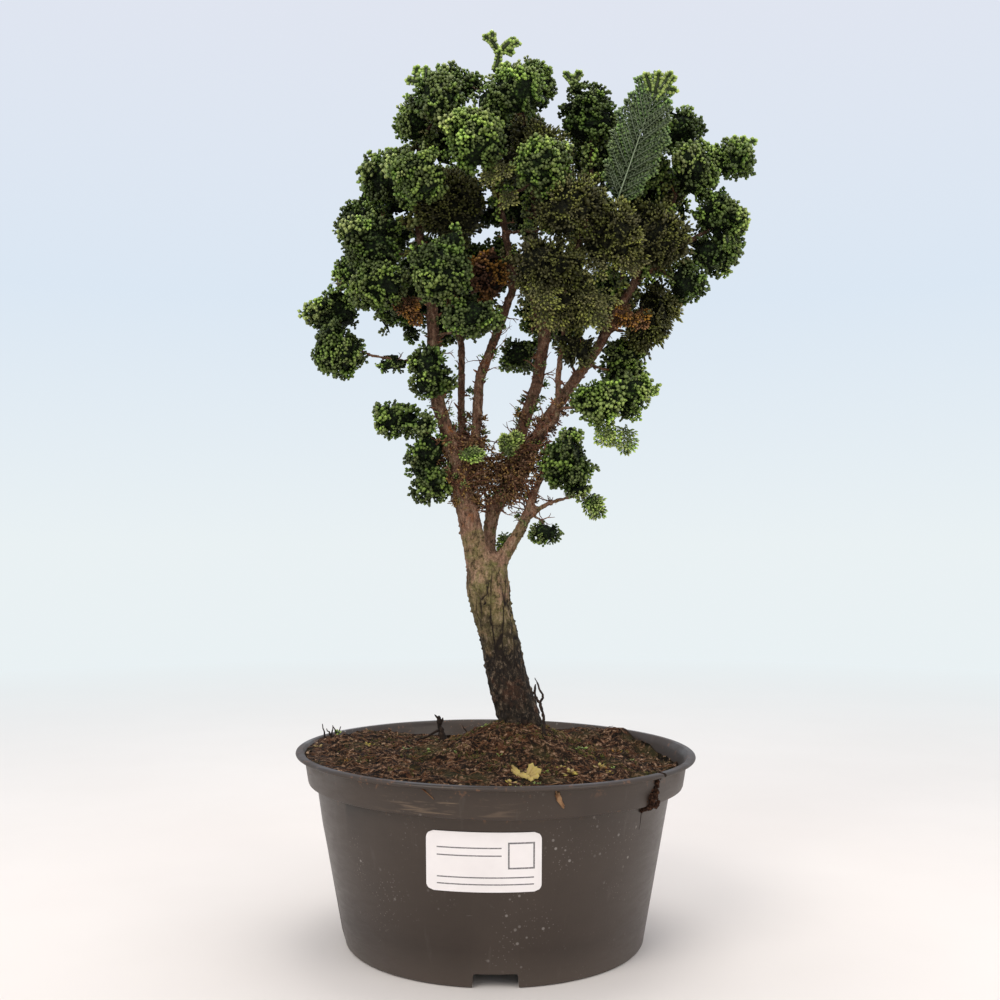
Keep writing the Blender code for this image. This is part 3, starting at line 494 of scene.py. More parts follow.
def makeClump(node):
    low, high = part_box(node)
    middle, half = (low + high) / 2, (high - low) / 2
    bm = mergedCopy(node)
    bmesh.ops.subdivide_edges(bm, edges=bm.edges, cuts=1, use_grid_fill=True)
    bm.normal_update()
    grow = bm.verts.layers.float_vector.new("grow")
    weight = bm.verts.layers.float.new("weight")
    outer = bm.verts.layers.float.new("outer")
    upward = Vector((0, 0, droopOf.get(node, 0.22)))
    tiny = 0.7 if node in ("clump_under_fork", "clump_branchlet") else 1.0
    move, stretch = settle.get(node, ((0, 0, 0), (1, 1, 1)))
    move = Vector(move) * mm
    shifts = [vert.normal.copy() for vert in bm.verts]
    for vert, normal in zip(bm.verts, shifts):
        away = vert.co - middle
        across = Vector([away[k] / max(half[k], 1e-6) for k in range(3)])
        direction = Vector([across[k] / max(half[k], 1e-6) for k in range(3)]).normalized()
        lump = noise.noise(vert.co / mm / foliage["lumpSize"] + Vector((0, 0, len(node))))
        vert[grow] = direction * 0.7 + normal * 0.5 + upward
        outward = (vert.co - foliage["crownMiddle"]).normalized()
        facing = direction.dot(outward)
        vert[weight] = min(max(0.75 + 0.5 * facing, 0.36), 1.0)
        # Painted light share for the leaves: higher on the clump's outer, upper and lumpy side, lower inside the crown
        # and in the valleys between lumps
        vert[outer] = min(across.length, 1.0) * (0.62 + 0.38 * max(facing, 0.0)) * (
            0.8 + 0.2 * direction.z) * (1.0 + 0.7 * lump)
        free = foliage["fanReach"] / (sum(half) / 3)
        outside = min(max(facing * 1.4 + 0.35, 0.0), 1.0)
        limit = max(foliage["inward"] - (foliage["inward"] - 1.0 + free) * outside, 0.34)
        reach = across.length
        drawn = min(reach * foliage["inward"], limit + max(reach - limit, 0.0) * 0.2)
        away = away * drawn / max(reach, 1e-6) + normal * lump * foliage["lump"]
        vert.co = middle + move + Vector([away[k] * stretch[k] for k in range(3)])
    mesh = meshOf(node + "Heart", bm)
    ground = mesh.attributes.new("ground", "BOOLEAN", "FACE")
    ground.data.foreach_set("value", [True] * len(mesh.polygons))
    name = "".join(word.capitalize() for word in node.split("_"))
    tone = toneOf.get(node, slotOfNode[node])
    piece = newPiece(name[0].lower() + name[1:] + "Fans", mesh, paintedShadeHearts[tone])
    slim = node in slimClumps or any(word in node for word in slimClumps[:4])
    apart = foliage["apartBehind"] if "back" in node else 1.0
    growOn(piece, scatter, {
        "Items": slimFans if slim else knobbyFans, "Per Area": foliage["perArea"] / apart,
        "Spacing": foliage["spacing"] * apart,
        "Least": foliage["least"] * tiny * apart, "Most": foliage["most"] * tiny,
        "Lean": foliage["lean"],
        "Lift": foliage["lift"], "Seed": sum(map(ord, node)) % 97,
        "Cover": leafMaterials[tone], "Keep Ground": True})
    dress(piece, slotOfNode[node], node)
    return piece


clumps = [makeClump(node) for node in sorted(cadNodes)
          if node.startswith("clump_") and node not in ("clump_flat_spray", "clump_top_sprig")]
print("  triangles:", sum(len(piece.data.polygons) for piece in clumps))


print("wood")
wood = {
    "voxel": 1.05 * mm,
    "relief": 0.75 * mm,
    "swell": 0.35 * mm,           # makes up for what the easing takes off
    "easing": 24,                 # rounds that take the facets off the thick parts
    "thick": 11.0 * mm,
    "thin": 2.2 * mm,
    "darkFoot": (0.132, 0.157),   # the dark lower bark fades out between these heights
    "redLimbs": (0.172, 0.222),
    "topLean": 4.0 * mm,          # the topmost twig's lean to the left
}


def barkMaterial():
    material, tree, shader = newMaterial("flakingBark", 0.85, 0.22)
    point = objectPoint(tree)
    along = objectPoint(tree, (1.0, 1.0, 0.25))
    height = heightOf(tree)
    broad = noiseValue(tree, point, 75.0, 5.0, 0.65, 0.6)
    streaks = noiseValue(tree, along, 480.0, 6.0, 0.78)
    fine = noiseValue(tree, point, 950.0, 5.0, 0.8)
    spots = noiseValue(tree, point, 230.0, 6.0, 0.72)
    grit = noiseValue(tree, objectPoint(tree, (1.0, 1.0, 0.6)), 520.0, 6.0, 0.82)
    splits = addNode(tree, "ShaderNodeTexVoronoi",
                     {"Vector": objectPoint(tree, (1.0, 1.0, 0.16)), "Scale": 210.0},
                     feature="DISTANCE_TO_EDGE").outputs["Distance"]
    where = noiseValue(tree, objectPoint(tree, (1.0, 1.0, 0.5), (0.5, 0.2, 0.0)), 60.0, 2.0)
    level = sums(tree, "ADD", height, rangeOf(tree, broad, 0.25, 0.75, -0.024, 0.024))
    olive = ramp(tree, streaks, ((0.30, (0.105, 0.078, 0.028)), (0.5, (0.25, 0.18, 0.078)),
                                 (0.66, (0.42, 0.30, 0.16))))
    algae = blend(tree, rangeOf(tree, spots, 0.44, 0.60, 0.0, 0.8), olive, (0.165, 0.150, 0.046))
    pink = ramp(tree, streaks, ((0.32, (0.19, 0.098, 0.056)), (0.66, (0.46, 0.27, 0.175))))
    rosy = sums(tree, "ADD", broad, rangeOf(tree, height, 0.155, 0.20, -0.05, 0.14))
    rosy = sums(tree, "ADD", rosy, rangeOf(tree, grit, 0.35, 0.65, -0.07, 0.07))
    middle = blend(tree, rangeOf(tree, rosy, 0.48, 0.62), algae, pink)
    low = ramp(tree, spots, ((0.30, (0.008, 0.006, 0.005)), (0.52, (0.022, 0.016, 0.011)),
                             (0.60, (0.060, 0.042, 0.026)), (0.70, (0.24, 0.165, 0.105))))
    red = blend(tree, rangeOf(tree, broad, 0.5, 0.6), low, (0.075, 0.035, 0.02))
    limbs = ramp(tree, streaks, ((0.30, (0.085, 0.037, 0.022)), (0.5, (0.19, 0.095, 0.058)),
                                 (0.68, (0.36, 0.20, 0.125))))
    limbs = blend(tree, rangeOf(tree, spots, 0.55, 0.62), limbs, (0.11, 0.095, 0.036))
    rust = noiseValue(tree, objectPoint(tree, place=(0.3, 0.1, 0.2)), 210.0, 5.0, 0.7)
    limbs = blend(tree, rangeOf(tree, rust, 0.57, 0.63), limbs, (0.25, 0.085, 0.026))
    colour = blend(tree, rangeOf(tree, level, *wood["darkFoot"]), red, middle)
    colour = blend(tree, rangeOf(tree, level, *wood["redLimbs"]), colour, limbs)
    colour = blend(tree, rangeOf(tree, height, 0.27, 0.36), colour, (0.060, 0.026, 0.016))
    colour = blend(tree, rangeOf(tree, grit, 0.475, 0.40, 0.0, 0.85), colour, (0.034, 0.021, 0.012))
    pale = sums(tree, "MULTIPLY", rangeOf(tree, grit, 0.535, 0.62, 0.0, 0.7),
                rangeOf(tree, height, 0.10, 0.15, 0.45, 1.0))
    colour = blend(tree, pale, colour, (0.40, 0.28, 0.18))
    mottle = rangeOf(tree, fine, 0.32, 0.68, 0.50, 1.45)
    grey = addNode(tree, "ShaderNodeCombineColor", {0: mottle, 1: mottle, 2: mottle}).outputs[0]
    colour = blend(tree, 1.0, colour, grey, "MULTIPLY")
    lowly = rangeOf(tree, height, 0.19, 0.165)
    split = sums(tree, "MULTIPLY", rangeOf(tree, splits, 0.085, 0.02), rangeOf(tree, where, 0.46, 0.58))
    split = sums(tree, "MULTIPLY", split, lowly)
    colour = blend(tree, split, colour, (0.018, 0.011, 0.007))
    crack = sums(tree, "MULTIPLY", rangeOf(tree, attribute(tree, "crack"), 0.5, 0.95),
                 rangeOf(tree, spots, 0.40, 0.56))
    colour = blend(tree, crack, colour, (0.020, 0.013, 0.009))
    tree.links.new(colour, shader.inputs["Base Color"])
    relief = sums(tree, "ADD", sums(tree, "MULTIPLY", streaks, 0.5), sums(tree, "MULTIPLY", fine, 0.5))
    relief = sums(tree, "ADD", relief, sums(tree, "MULTIPLY", grit, 0.9))
    relief = sums(tree, "SUBTRACT", relief, sums(tree, "MULTIPLY", split, 0.7))
    bump(tree, shader, relief, 1.2 * mm, 1.0)
    return material


def numbersOf(source, field, width, kind=float):
    values = np.empty(len(source) * width, kind)
    source.foreach_get(field, values)
    return values.reshape(-1, width) if width > 1 else values


def easePoints(points, edges, share, rounds):
    count = len(points)
    degree = np.maximum(np.bincount(edges.ravel(), minlength=count), 1)[:, None]
    for turn in range(rounds):
        total = np.stack([np.bincount(edges[:, 0], points[edges[:, 1], k], count)
                          + np.bincount(edges[:, 1], points[edges[:, 0], k], count)
                          for k in range(3)], 1)
        points += (total / degree - points) * share[:, None] * 0.6
    return points


def makeWood():
    piece = newPiece("barkedWood", meshOf("barkedWood", mergedCopy("trunk")))
    even = piece.modifiers.new("even", "REMESH")
    even.mode = "VOXEL"
    even.voxel_size = wood["voxel"]
    freeze(piece)
    mesh = piece.data
    points = numbersOf(mesh.vertices, "co", 3)
    edges = numbersOf(mesh.edges, "vertices", 2, np.int32)
    normals = numbersOf(mesh.vertex_normals, "vector", 3)
    solid = BVHTree.FromPolygons([tuple(p) for p in points], [tuple(f.vertices) for f in mesh.polygons])
    depth = np.empty(len(points))
    for k, (point, normal) in enumerate(zip(points, normals)):
        inward = Vector(-normal)
        hit = solid.ray_cast(Vector(point) + inward * 0.05 * mm, inward, 0.04)
        depth[k] = hit[3] if hit[0] else 0.0
    share = np.clip((depth - wood["thin"]) / (wood["thick"] - wood["thin"]), 0.0, 1.0)
    share = easePoints(np.repeat(share[:, None], 3, 1), edges, np.ones(len(share)), 12)[:, 0]
    points = easePoints(points, edges, np.clip(share * 1.5, 0.05, 1.0), wood["easing"])
    crack = np.zeros(len(points))
    for k, (x, y, z) in enumerate(points / mm):
        lowly = min(max((150.0 - z) / 60.0, 0.0), 1.0)
        fissure = abs(noise.noise(Vector((x * 0.20 + z * 0.03, y * 0.20, z * 0.035))))
        knob = noise.noise(Vector((x * 0.45, y * 0.45, z * 0.30 + 9.0)))
        grain = noise.noise(Vector((x * 1.1, y * 1.1, z * 0.45 + 4.0)))
        valley = max(1.0 - fissure * 9.0, 0.0)
        crack[k] = valley * share[k] * (0.55 + 0.45 * lowly)
        lift = (0.30 + 0.5 * lowly) * knob + 0.55 * grain - (0.35 + 0.4 * lowly) * valley
        scar = max(noise.noise(Vector((x * 0.7, y * 0.7, z * 0.7 + 30.0))) - 0.28, 0.0) * 2.6
        lift += scar * (1.0 - lowly)
        points[k] += normals[k] * (wood["relief"] * lift * (0.42 + 0.78 * share[k])
                                   + wood["swell"] * share[k])
    high = np.clip((points[:, 2] - 0.404) / 0.018, 0.0, 1.0)
    points[:, 0] -= wood["topLean"] * high * high * (3.0 - 2.0 * high)
    mesh.vertices.foreach_set("co", points.ravel())
    for name, values in (("crack", crack), ("thickness", share)):
        mesh.attributes.new(name, "FLOAT", "POINT").data.foreach_set("value", values.astype(np.float32))
    mesh.shade_smooth()
    mesh.materials.append(barkMaterial())
    dress(piece, "bark", "trunk")
    return piece


trunk = makeWood()
print("  triangles:", sum(len(face.vertices) - 2 for face in trunk.data.polygons))


print("twigs")
twigs = {
    "seed": 5,
    "zones": ((0.196, 0.250, 170), (0.250, 0.33, 70), (0.33, 0.41, 40)),   # heights and how many
    "length": (4.0, 11.0),
    "radius": (0.28, 0.5),
    "stubs": 340,
    "stubLength": (1.0, 3.2),
    "stubRadius": (0.45, 0.8),
}


def twigMaterial():
    material, tree, shader = newMaterial("redTwigs", 0.75, 0.3)
    speckle = noiseValue(tree, objectPoint(tree), 260.0, 4.0)
    tree.links.new(ramp(tree, speckle, ((0.3, (0.045, 0.016, 0.009)), (0.5, (0.15, 0.055, 0.028)),
                                        (0.68, (0.30, 0.15, 0.075)))), shader.inputs["Base Color"])
    bump(tree, shader, noiseValue(tree, objectPoint(tree), 1800.0, 2.0), 0.2 * mm)
    return material


def strayTwig(bm, draw, start, direction, length, radius, side=True):
    points = [(start, radius)]
    steps = 4
    for k in range(steps):
        direction = (direction + Vector([draw.uniform(-0.4, 0.4) for axis in range(3)])).normalized()
        points.append((points[-1][0] + direction * length / steps,
                       radius * (1 - 0.7 * (k + 1) / steps)))
        if side and k in (1, 2) and draw.random() < 0.75:
            branch = (direction + Vector([draw.uniform(-0.9, 0.9) for axis in range(3)])).normalized()
            strayTwig(bm, draw, points[-1][0], branch, length * 0.45, radius * 0.6, False)
    addTube(bm, points, 4)


def makeTwigs():
    draw = random.Random(twigs["seed"])
    verts = trunk.data.vertices
    thickness = trunk.data.attributes["thickness"].data
    bm = bmesh.new()
    for low, high, count in twigs["zones"]:
        ready = [v.index for v in verts if low < v.co.z < high and thickness[v.index].value < 0.75]
        for index in draw.sample(ready, count):
            vert = verts[index]
            direction = vert.normal * 0.9 + Vector((draw.uniform(-0.6, 0.6), draw.uniform(-0.6, 0.6),
                                                    draw.uniform(-0.2, 0.9)))
            strayTwig(bm, draw, vert.co - vert.normal * 0.4 * mm, direction.normalized(),
                      draw.uniform(*twigs["length"]) * mm, draw.uniform(*twigs["radius"]) * mm)
    ready = [v.index for v in verts if 0.20 < v.co.z < 0.37 and 0.05 < thickness[v.index].value < 0.9]
    for index in draw.sample(ready, twigs["stubs"]):
        vert = verts[index]
        radius = draw.uniform(*twigs["stubRadius"]) * mm
        tip = vert.co + (vert.normal + Vector((draw.uniform(-0.4, 0.4), draw.uniform(-0.4, 0.4),
                                               draw.uniform(0.0, 0.8)))) * (
            draw.uniform(*twigs["stubLength"]) * mm)
        addTube(bm, [(vert.co - vert.normal * 0.3 * mm, radius), (vert.co.lerp(tip, 0.5), radius * 0.7),
                     (tip, radius * 0.25)], 5)
    piece = newPiece("strayTwigs", meshOf("strayTwigs", bm), twigMaterial())
    dress(piece, "bark")
    return piece


makeTwigs()


print("dead tufts on the limbs")
tufts = {
    "perArea": 0.12 / mm ** 2,
    "spacing": 1.4 * mm,
    "low": 0.200,
    "high": 0.262,
    "patch": 0.055,
}


def makeTufts(name, material, items, offset, seed, low, high, perArea, least, most):
    host = bmesh.new()
    host.from_mesh(trunk.data)
    far = [v for v in host.verts if not low - 0.01 < v.co.z < high + 0.01]
    bmesh.ops.delete(host, geom=far, context="VERTS")
    host.normal_update()
    grow = host.verts.layers.float_vector.new("grow")
    weight = host.verts.layers.float.new("weight")
    outer = host.verts.layers.float.new("outer")
    for vert in host.verts:
        patch = noise.noise(vert.co / mm * tufts["patch"] + Vector((offset, 0, 0)))
        inside = min(max((vert.co.z - low) / 0.012, 0.0), 1.0) * min(max((high - vert.co.z) / 0.02, 0.0), 1.0)
        vert[weight] = min(max(0.45 + patch * 2.2, 0.0), 1.0) * inside
        vert[grow] = vert.normal * 0.8 + Vector((0, 0, 0.35))
        # a fixed painted light share for these leaves
        vert[outer] = 0.8
    piece = newPiece(name, meshOf(name, host))
    growOn(piece, scatter, {
        "Items": items, "Per Area": perArea, "Spacing": tufts["spacing"],
        "Least": least, "Most": most, "Lean": 0.9, "Lift": 0.2, "Seed": seed, "Cover": material,
        "Keep Ground": False})
    dress(piece, "foliage_dry" if "dead" in name else "foliage_green")


deadLeaf = leafMaterial("scaleLeafDead", (0.035, 0.016, 0.009), (0.125, 0.060, 0.026),
                        (0.30, 0.17, 0.075), 0.8, None, (0.49, 0.52))
makeTufts("deadTufts", deadLeaf, slimFans, 3.0, 7, tufts["low"], tufts["high"],
          tufts["perArea"], 0.35, 0.8)
makeTufts("limbTufts", leafMaterials["foliage_green"], slimFans, 31.0, 8, 0.196, 0.30,
          0.03 / mm ** 2, 0.4, 0.8)
makeTufts("crownTufts", leafMaterials["foliage_olive"], knobbyFans, 50.0, 9, 0.292, 0.41,
          0.09 / mm ** 2, 0.7, 1.2)
makeTufts("crownFill", leafMaterials["foliage_green"], knobbyFans, 70.0, 10, 0.305, 0.41,
          0.09 / mm ** 2, 0.8, 1.3)


print("flat spray")
spray = {
    "base": Vector((0.0555, -0.0285, 0.344)),
    "tip": Vector((0.0768, -0.0262, 0.4050)),
    "breadth": 29.0 * mm,
    "facing": Vector((0.05, -1.0, 0.12)),
    "ribs": 17,
    "seed": 3,
}


def markNew(bm, layers, first, tint, outer, rib):
    bm.verts.ensure_lookup_table()
    for vert in bm.verts[first:]:
        vert[layers[1]], vert[layers[2]], vert[layers[3]] = tint, outer, rib


def sprayInto(bm, layers, draw, base, tip, facing, breadth, ribs, bud, steps=1.55 * mm, stalk=0.3, net=False):
    axis = tip - base
    length = axis.length
    axis.normalize()
    facing = (facing - axis * facing.dot(axis)).normalized()
    side = axis.cross(facing)
    proud = facing * (0.75 * mm if net else 0.0)
    count = len(bm.verts)
    stem = [(base + proud + axis * length * k / 6 + facing * 0.5 * math.sin(k) * mm,
             stalk * (1.0 - 0.13 * k) * mm) for k in range(7)]
    addTube(bm, stem, 4)
    markNew(bm, layers, count, 0.5, 0.5, 1.0 if net else 0.35)
    for k in range(2 * ribs):
        share = (k + 0.5) / (2 * ribs)
        sign = -1 if k % 2 else 1
        profile = math.sin(math.pi * min(0.16 + share * 0.78, 1.0)) ** 0.75
        reach = breadth * 0.5 * profile * draw.uniform(0.85, 1.2) / math.sin(math.radians(48))
        turn = math.radians(draw.uniform(40, 52) * (1.0 - 0.45 * share))
        bend = draw.uniform(-0.16, 0.16)
        direction = (axis * math.cos(turn) + side * sign * math.sin(turn) + facing * bend).normalized()
        across = direction.cross(facing).normalized()
        start = base + axis * length * (0.04 + 0.9 * share)
        count = len(bm.verts)
        addTube(bm, [(start + proud, 0.26 * mm), (start + proud + direction * reach * 0.85, 0.16 * mm)], 3)
        markNew(bm, layers, count, 0.5, 0.5, 0.9 if net else 0.3)
        buds = max(int(reach / steps), 2)
        tint = draw.random()
        for j in range(buds):
            place = start + direction * reach * (j + 0.6) / buds
            for half in (-1, 1):
                lean = math.radians(draw.uniform(30, 50)) * half
                heading = (direction * math.cos(lean) + across * math.sin(lean)
                           + facing * draw.uniform(-0.3, 0.35)).normalized()
                count = len(bm.verts)
                size = draw.uniform(0.85, 1.15) * mm
                addBud(bm, layers[0], place, heading, facing, bud[0] * size, bud[1] * size)
                # The painted light share rises toward each rib's end and the spray's tip, together with the new growth
                # there
                markNew(bm, layers, count, min(max(tint + draw.uniform(-0.2, 0.2), 0), 1),
                        0.35 + 0.45 * (j / buds) + 0.25 * share, 0.0)
                if net:
                    count = len(bm.verts)
                    addTube(bm, [(place + proud, 0.17 * mm),
                                 (place + proud * 0.9 + heading * 1.7 * mm, 0.11 * mm)], 3)
                    markNew(bm, layers, count, 0.5, 0.5, draw.uniform(0.3, 1.0))
        count = len(bm.verts)
        addBud(bm, layers[0], start + direction * reach * 0.92, direction, facing,
               bud[0] * 1.2 * mm, bud[1] * 1.1 * mm)
        markNew(bm, layers, count, tint, 1.0, 0.0)


def sprayLayers(bm):
    # bud, tint, painted light share and rib of each vertex
    return [bm.verts.layers.float.new(word) for word in ("bud", "tint", "outer", "rib")]


def makeFlatSpray():
    draw = random.Random(spray["seed"])
    bm = bmesh.new()
    layers = sprayLayers(bm)
    for lift, shrink, net in ((0.0, 1.0, True), (-1.6 * mm, 0.92, False), (-3.0 * mm, 0.8, False)):
        shift = spray["facing"].normalized() * lift
        tip = spray["base"].lerp(spray["tip"], shrink)
        sprayInto(bm, layers, draw, spray["base"] + shift, tip + shift, spray["facing"],
                  spray["breadth"] * shrink, spray["ribs"], (2.5, 1.5), 1.55 * mm, 0.5, net)
    bmesh.ops.recalc_face_normals(bm, faces=bm.faces)
    mesh = meshOf("flatSpray", bm)
    mesh.shade_smooth()
    piece = newPiece("flatSpray", mesh, leafMaterial(
        "flatSprayLeaf", (0.010, 0.020, 0.009), (0.042, 0.076, 0.028), (0.21, 0.30, 0.085), 0.42,
        (0.19, 0.23, 0.135)))
    dress(piece, "foliage_blue", "clump_flat_spray")


# Shoots with finger-like lobes, as lines of x and z in mm
fingers = {
    "knob": (3.0, 2.5),
    "topShoot": ("foliage_bright", -7.0, ("clump_top_sprig",),
                 (((-0.6, 416), (0.8, 421), (1.8, 425.7)), ((1.8, 425.7), (-1.5, 430.5), (-5.0, 433.6)),
                  ((-1.5, 430.5), (-1.9, 434.6)), ((1.8, 425.7), (5.5, 429.5), (8.4, 432.5)),
                  ((5.5, 429.5), (10.6, 430.2)), ((3.5, 427.2), (7.5, 426.2)))),
    "rightShoot": ("foliage_bright", -3.0, (),
                   (((116.5, 372), (117.9, 378), (116.8, 385)), ((118.2, 379), (121, 385)),
                    ((118.2, 379), (122.5, 382), (126, 383.6)), ((122.5, 381), (123.6, 378.4)))),
    "sprayShoot": ("foliage_bright", -26.5, (),
                   (((73.5, 395), (79, 403), (81.8, 407.5)), ((79, 403), (83.4, 405.5)),
                    ((74.5, 398), (76, 404), (76.4, 407.5)), ((76, 400), (80.5, 400.6), (84, 399.6)),
                    ((73, 399), (71.5, 404), (70.2, 406.5)))),
    "rightLowShoot": ("foliage_green", -3.0, (),
                      (((113, 345), (118, 343), (121, 342)), ((117, 343), (120, 339)),
                       ((114, 341), (117, 336), (118, 333)), ((112, 338), (113, 331)))),
    "rightTopShoot": ("foliage_green", 0.0, (),
                      (((41, 409), (37, 415), (34.5, 418)), ((38, 413.5), (41, 418)))),
    "topFrontShoot": ("foliage_bright", -24.0, (),
                      (((-34, 402), (-38, 407), (-37, 411)), ((-36, 404), (-41, 405)),
                       ((-33, 404), (-33, 411)))),
}


def makeFingers(name):
    tone, depth, replaced, lines = fingers[name]
    length, breadth = fingers["knob"]
    draw = random.Random(len(name))
    bm = bmesh.new()
    layers = sprayLayers(bm)
    front = Vector((0, -1, 0))
    for line in lines:
        points = [Vector((x, depth + draw.uniform(-0.7, 0.7), z)) * mm for x, z in line]
        count = len(bm.verts)
        addTube(bm, [(point, (1.0 - 0.15 * k) * mm) for k, point in enumerate(points)], 5)
        markNew(bm, layers, count, 0.3, 0.5, 0.0)
        for a, b in zip(points, points[1:]):
            way = (b - a).normalized()
            across = way.cross(front).normalized()
            steps = max(int((b - a).length / (1.3 * mm)), 1)
            for k in range(steps):
                for sign in (-1, 1):
                    heading = (way * 0.7 + across * sign * 0.9
                               + front * draw.uniform(-0.3, 0.5)).normalized()
                    size = draw.uniform(0.8, 1.05) * mm
                    count = len(bm.verts)
                    addBud(bm, layers[0], a.lerp(b, (k + 0.3) / steps), heading, front,
                           length * size, breadth * size)
                    markNew(bm, layers, count, draw.uniform(0.2, 0.8), 0.75, 0.0)
        count = len(bm.verts)
        addBud(bm, layers[0], points[-1] - way * 0.6 * mm, way, front, 2.9 * mm, 2.6 * mm)
        markNew(bm, layers, count, 0.6, 1.0, 0.0)
    bmesh.ops.recalc_face_normals(bm, faces=bm.faces)
    mesh = meshOf(name, bm)
    mesh.shade_smooth()
    dress(newPiece(name, mesh, leafMaterials[tone]), tone, *replaced)


# The shed spray's lobes: ends in mm from its middle, across and up its slope, and the breadth
shedLobes = (((-6.0, 2.2), (-2.3, -1.2), 2.0), ((-6.2, 0.4), (-2.6, -1.6), 2.4), ((-3.6, -1.4), (1.8, -2.2), 3.0),
             ((0.6, -2.0), (3.2, 3.4), 2.8), ((1.6, -1.8), (5.0, 1.8), 2.2), ((2.0, -2.0), (6.8, 0.4), 3.0),
             ((2.2, -2.4), (5.9, -2.4), 2.8), ((0.4, -2.4), (3.4, -4.0), 2.4))


def makeFallenSpray():
    low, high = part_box("fallen_spray")
    middle = Vector(((low.x + high.x) / 2, (low.y + high.y) / 2, (low.z + high.z) / 2 + 0.6 * mm))
    across, slope = Vector((1, 0, 0)), Vector((0, 0.42, 0.91))
    outward = across.cross(slope)
    draw = random.Random(8)
    bm = bmesh.new()
    layers = sprayLayers(bm)

    def spot(u, v):
        dish = 0.045 * (u * u + v * v) - 0.5
        return middle + (across * u + slope * v + outward * dish) * mm

    for start, end, breadth in shedLobes:
        a, b = Vector(start), Vector(end)
        way = (b - a).normalized()
        side = Vector((-way.y, way.x))
        steps = 9
        rows = []
        count = len(bm.verts)
        for k in range(steps + 1):
            share = k / steps
            half = breadth * 0.5 * (0.35 + 0.75 * share ** 0.6) * (1.0 - max(share - 0.72, 0.0) ** 1.5 * 6.2)
            half *= 1.0 + (0.18 if k % 3 == 1 else -0.12)
            centre = a.lerp(b, share)
            row = []
            for lift in (0.18, -0.18):
                for s in (-1.0, -0.45, 0.0, 0.45, 1.0) if lift > 0 else (1.0, 0.0, -1.0):
                    place = centre + side * half * s
                    crown = lift * (1.6 - abs(s)) + draw.uniform(-0.06, 0.06)
                    row.append(bm.verts.new(spot(place.x, place.y) + outward * crown * mm))
            rows.append(row)
        bm.verts.ensure_lookup_table()
        for k, row in enumerate(rows):
            for j, vert in enumerate(row):
                vert[layers[0]] = min(0.35 + 0.5 * k / steps + draw.uniform(-0.15, 0.15), 1.0)
                vert[layers[1]] = draw.uniform(0.3, 0.7)
                # painted light share rises toward each lobe's tip
                vert[layers[2]] = 0.6 + 0.4 * k / steps
                vert[layers[3]] = 0.8 if j == 2 else 0.0
        width = len(rows[0])
        for below, above in zip(rows, rows[1:]):
            for j in range(width):
                i = (j + 1) % width
                bm.faces.new((below[j], below[i], above[i], above[j]))
        bm.faces.new(rows[0])
        bm.faces.new(rows[-1])
    bmesh.ops.recalc_face_normals(bm, faces=bm.faces)
    mesh = meshOf("fallenSpray", bm)
    mesh.shade_smooth()
    piece = newPiece("fallenSpray", mesh, leafMaterial(
        "shedLeaf", (0.14, 0.085, 0.022), (0.36, 0.25, 0.070), (0.38, 0.33, 0.075), 0.7,
        (0.46, 0.33, 0.13), (0.487, 0.508)))
    dress(piece, "shed_leaf", "fallen_spray")


makeFlatSpray()
makeFallenSpray()
for shoot in [name for name in fingers if name.endswith("Shoot")]:
    makeFingers(shoot)


print("hanging fronds")
fronds = {
    "seed": 14,
    # middle, spread, direction, how many, length and breadth in mm
    "groups": (((30, -37, 309), (16, 4, 13), (0.45, -0.35, -0.8), 15, (17, 24), (10, 13), "olive"),
               ((54, -22, 242), (9, 3, 3), (0.15, -0.25, -1.0), 6, (10, 14), (6, 8), "bright"),
               ((57, -29, 326), (8, 3, 7), (0.30, -0.45, -0.6), 4, (12, 17), (8, 10), "olive"),
               ((-4, -40, 352), (10, 3, 8), (-0.1, -0.45, -0.6), 3, (11, 15), (7, 9), "olive"),
               ((-14, -16, 230), (3, 1, 1.5), (0.9, -0.3, 0.0), 4, (8, 10), (6, 7), "green"),
               ((4, -15, 231), (4, 1, 3), (0.1, -0.3, 0.8), 5, (7, 9), (5, 6), "green"),
               ((4, 6, 191), (1, 1, 2), (0.2, 0.0, -0.6), 3, (6, 7), (5, 6), "green"),
               ((45, -17, 209), (2, 2, 2), (0.5, -0.2, -0.4), 5, (7, 9), (6, 7), "green"),
               ((-43, -14, 301), (4, 2, 3), (0.2, -0.4, -0.6), 4, (7, 9), (5, 6), "dry"),
               ((64, -14, 300), (7, 3, 5), (-0.2, -0.4, -0.7), 6, (8, 11), (5, 7), "dry")),
}


def makeFronds():
    draw = random.Random(fronds["seed"])
    for number, (middle, spread, way, count, lengths, breadths, kind) in enumerate(fronds["groups"]):
        bm = bmesh.new()
        layers = sprayLayers(bm)
        for k in range(count):
            base = Vector([middle[a] + draw.uniform(-1, 1) * spread[a] for a in range(3)]) * mm
            heading = Vector([way[a] + draw.uniform(-0.35, 0.35) for a in range(3)]).normalized()
            length = draw.uniform(*lengths) * mm
            facing = Vector((draw.uniform(-0.4, 0.3), -1.0, draw.uniform(0.3, 0.9)))
            sprayInto(bm, layers, draw, base - heading * length * 0.3, base + heading * length * 0.7,
                      facing, draw.uniform(*breadths) * mm, 5, (2.5, 1.1), 1.8 * mm)
        bmesh.ops.recalc_face_normals(bm, faces=bm.faces)
        mesh = meshOf("hangingFronds%d" % number, bm)
        mesh.shade_smooth()
        dress(newPiece(mesh.name, mesh, leafMaterials["foliage_" + kind]), "foliage_" + kind)


makeFronds()


print("tangle in the fork")
tangle = {
    "middle": Vector((-0.003, -0.005, 0.222)),
    "half": Vector((0.031, 0.014, 0.016)),
    "twigs": 290,
    "seed": 23,
}


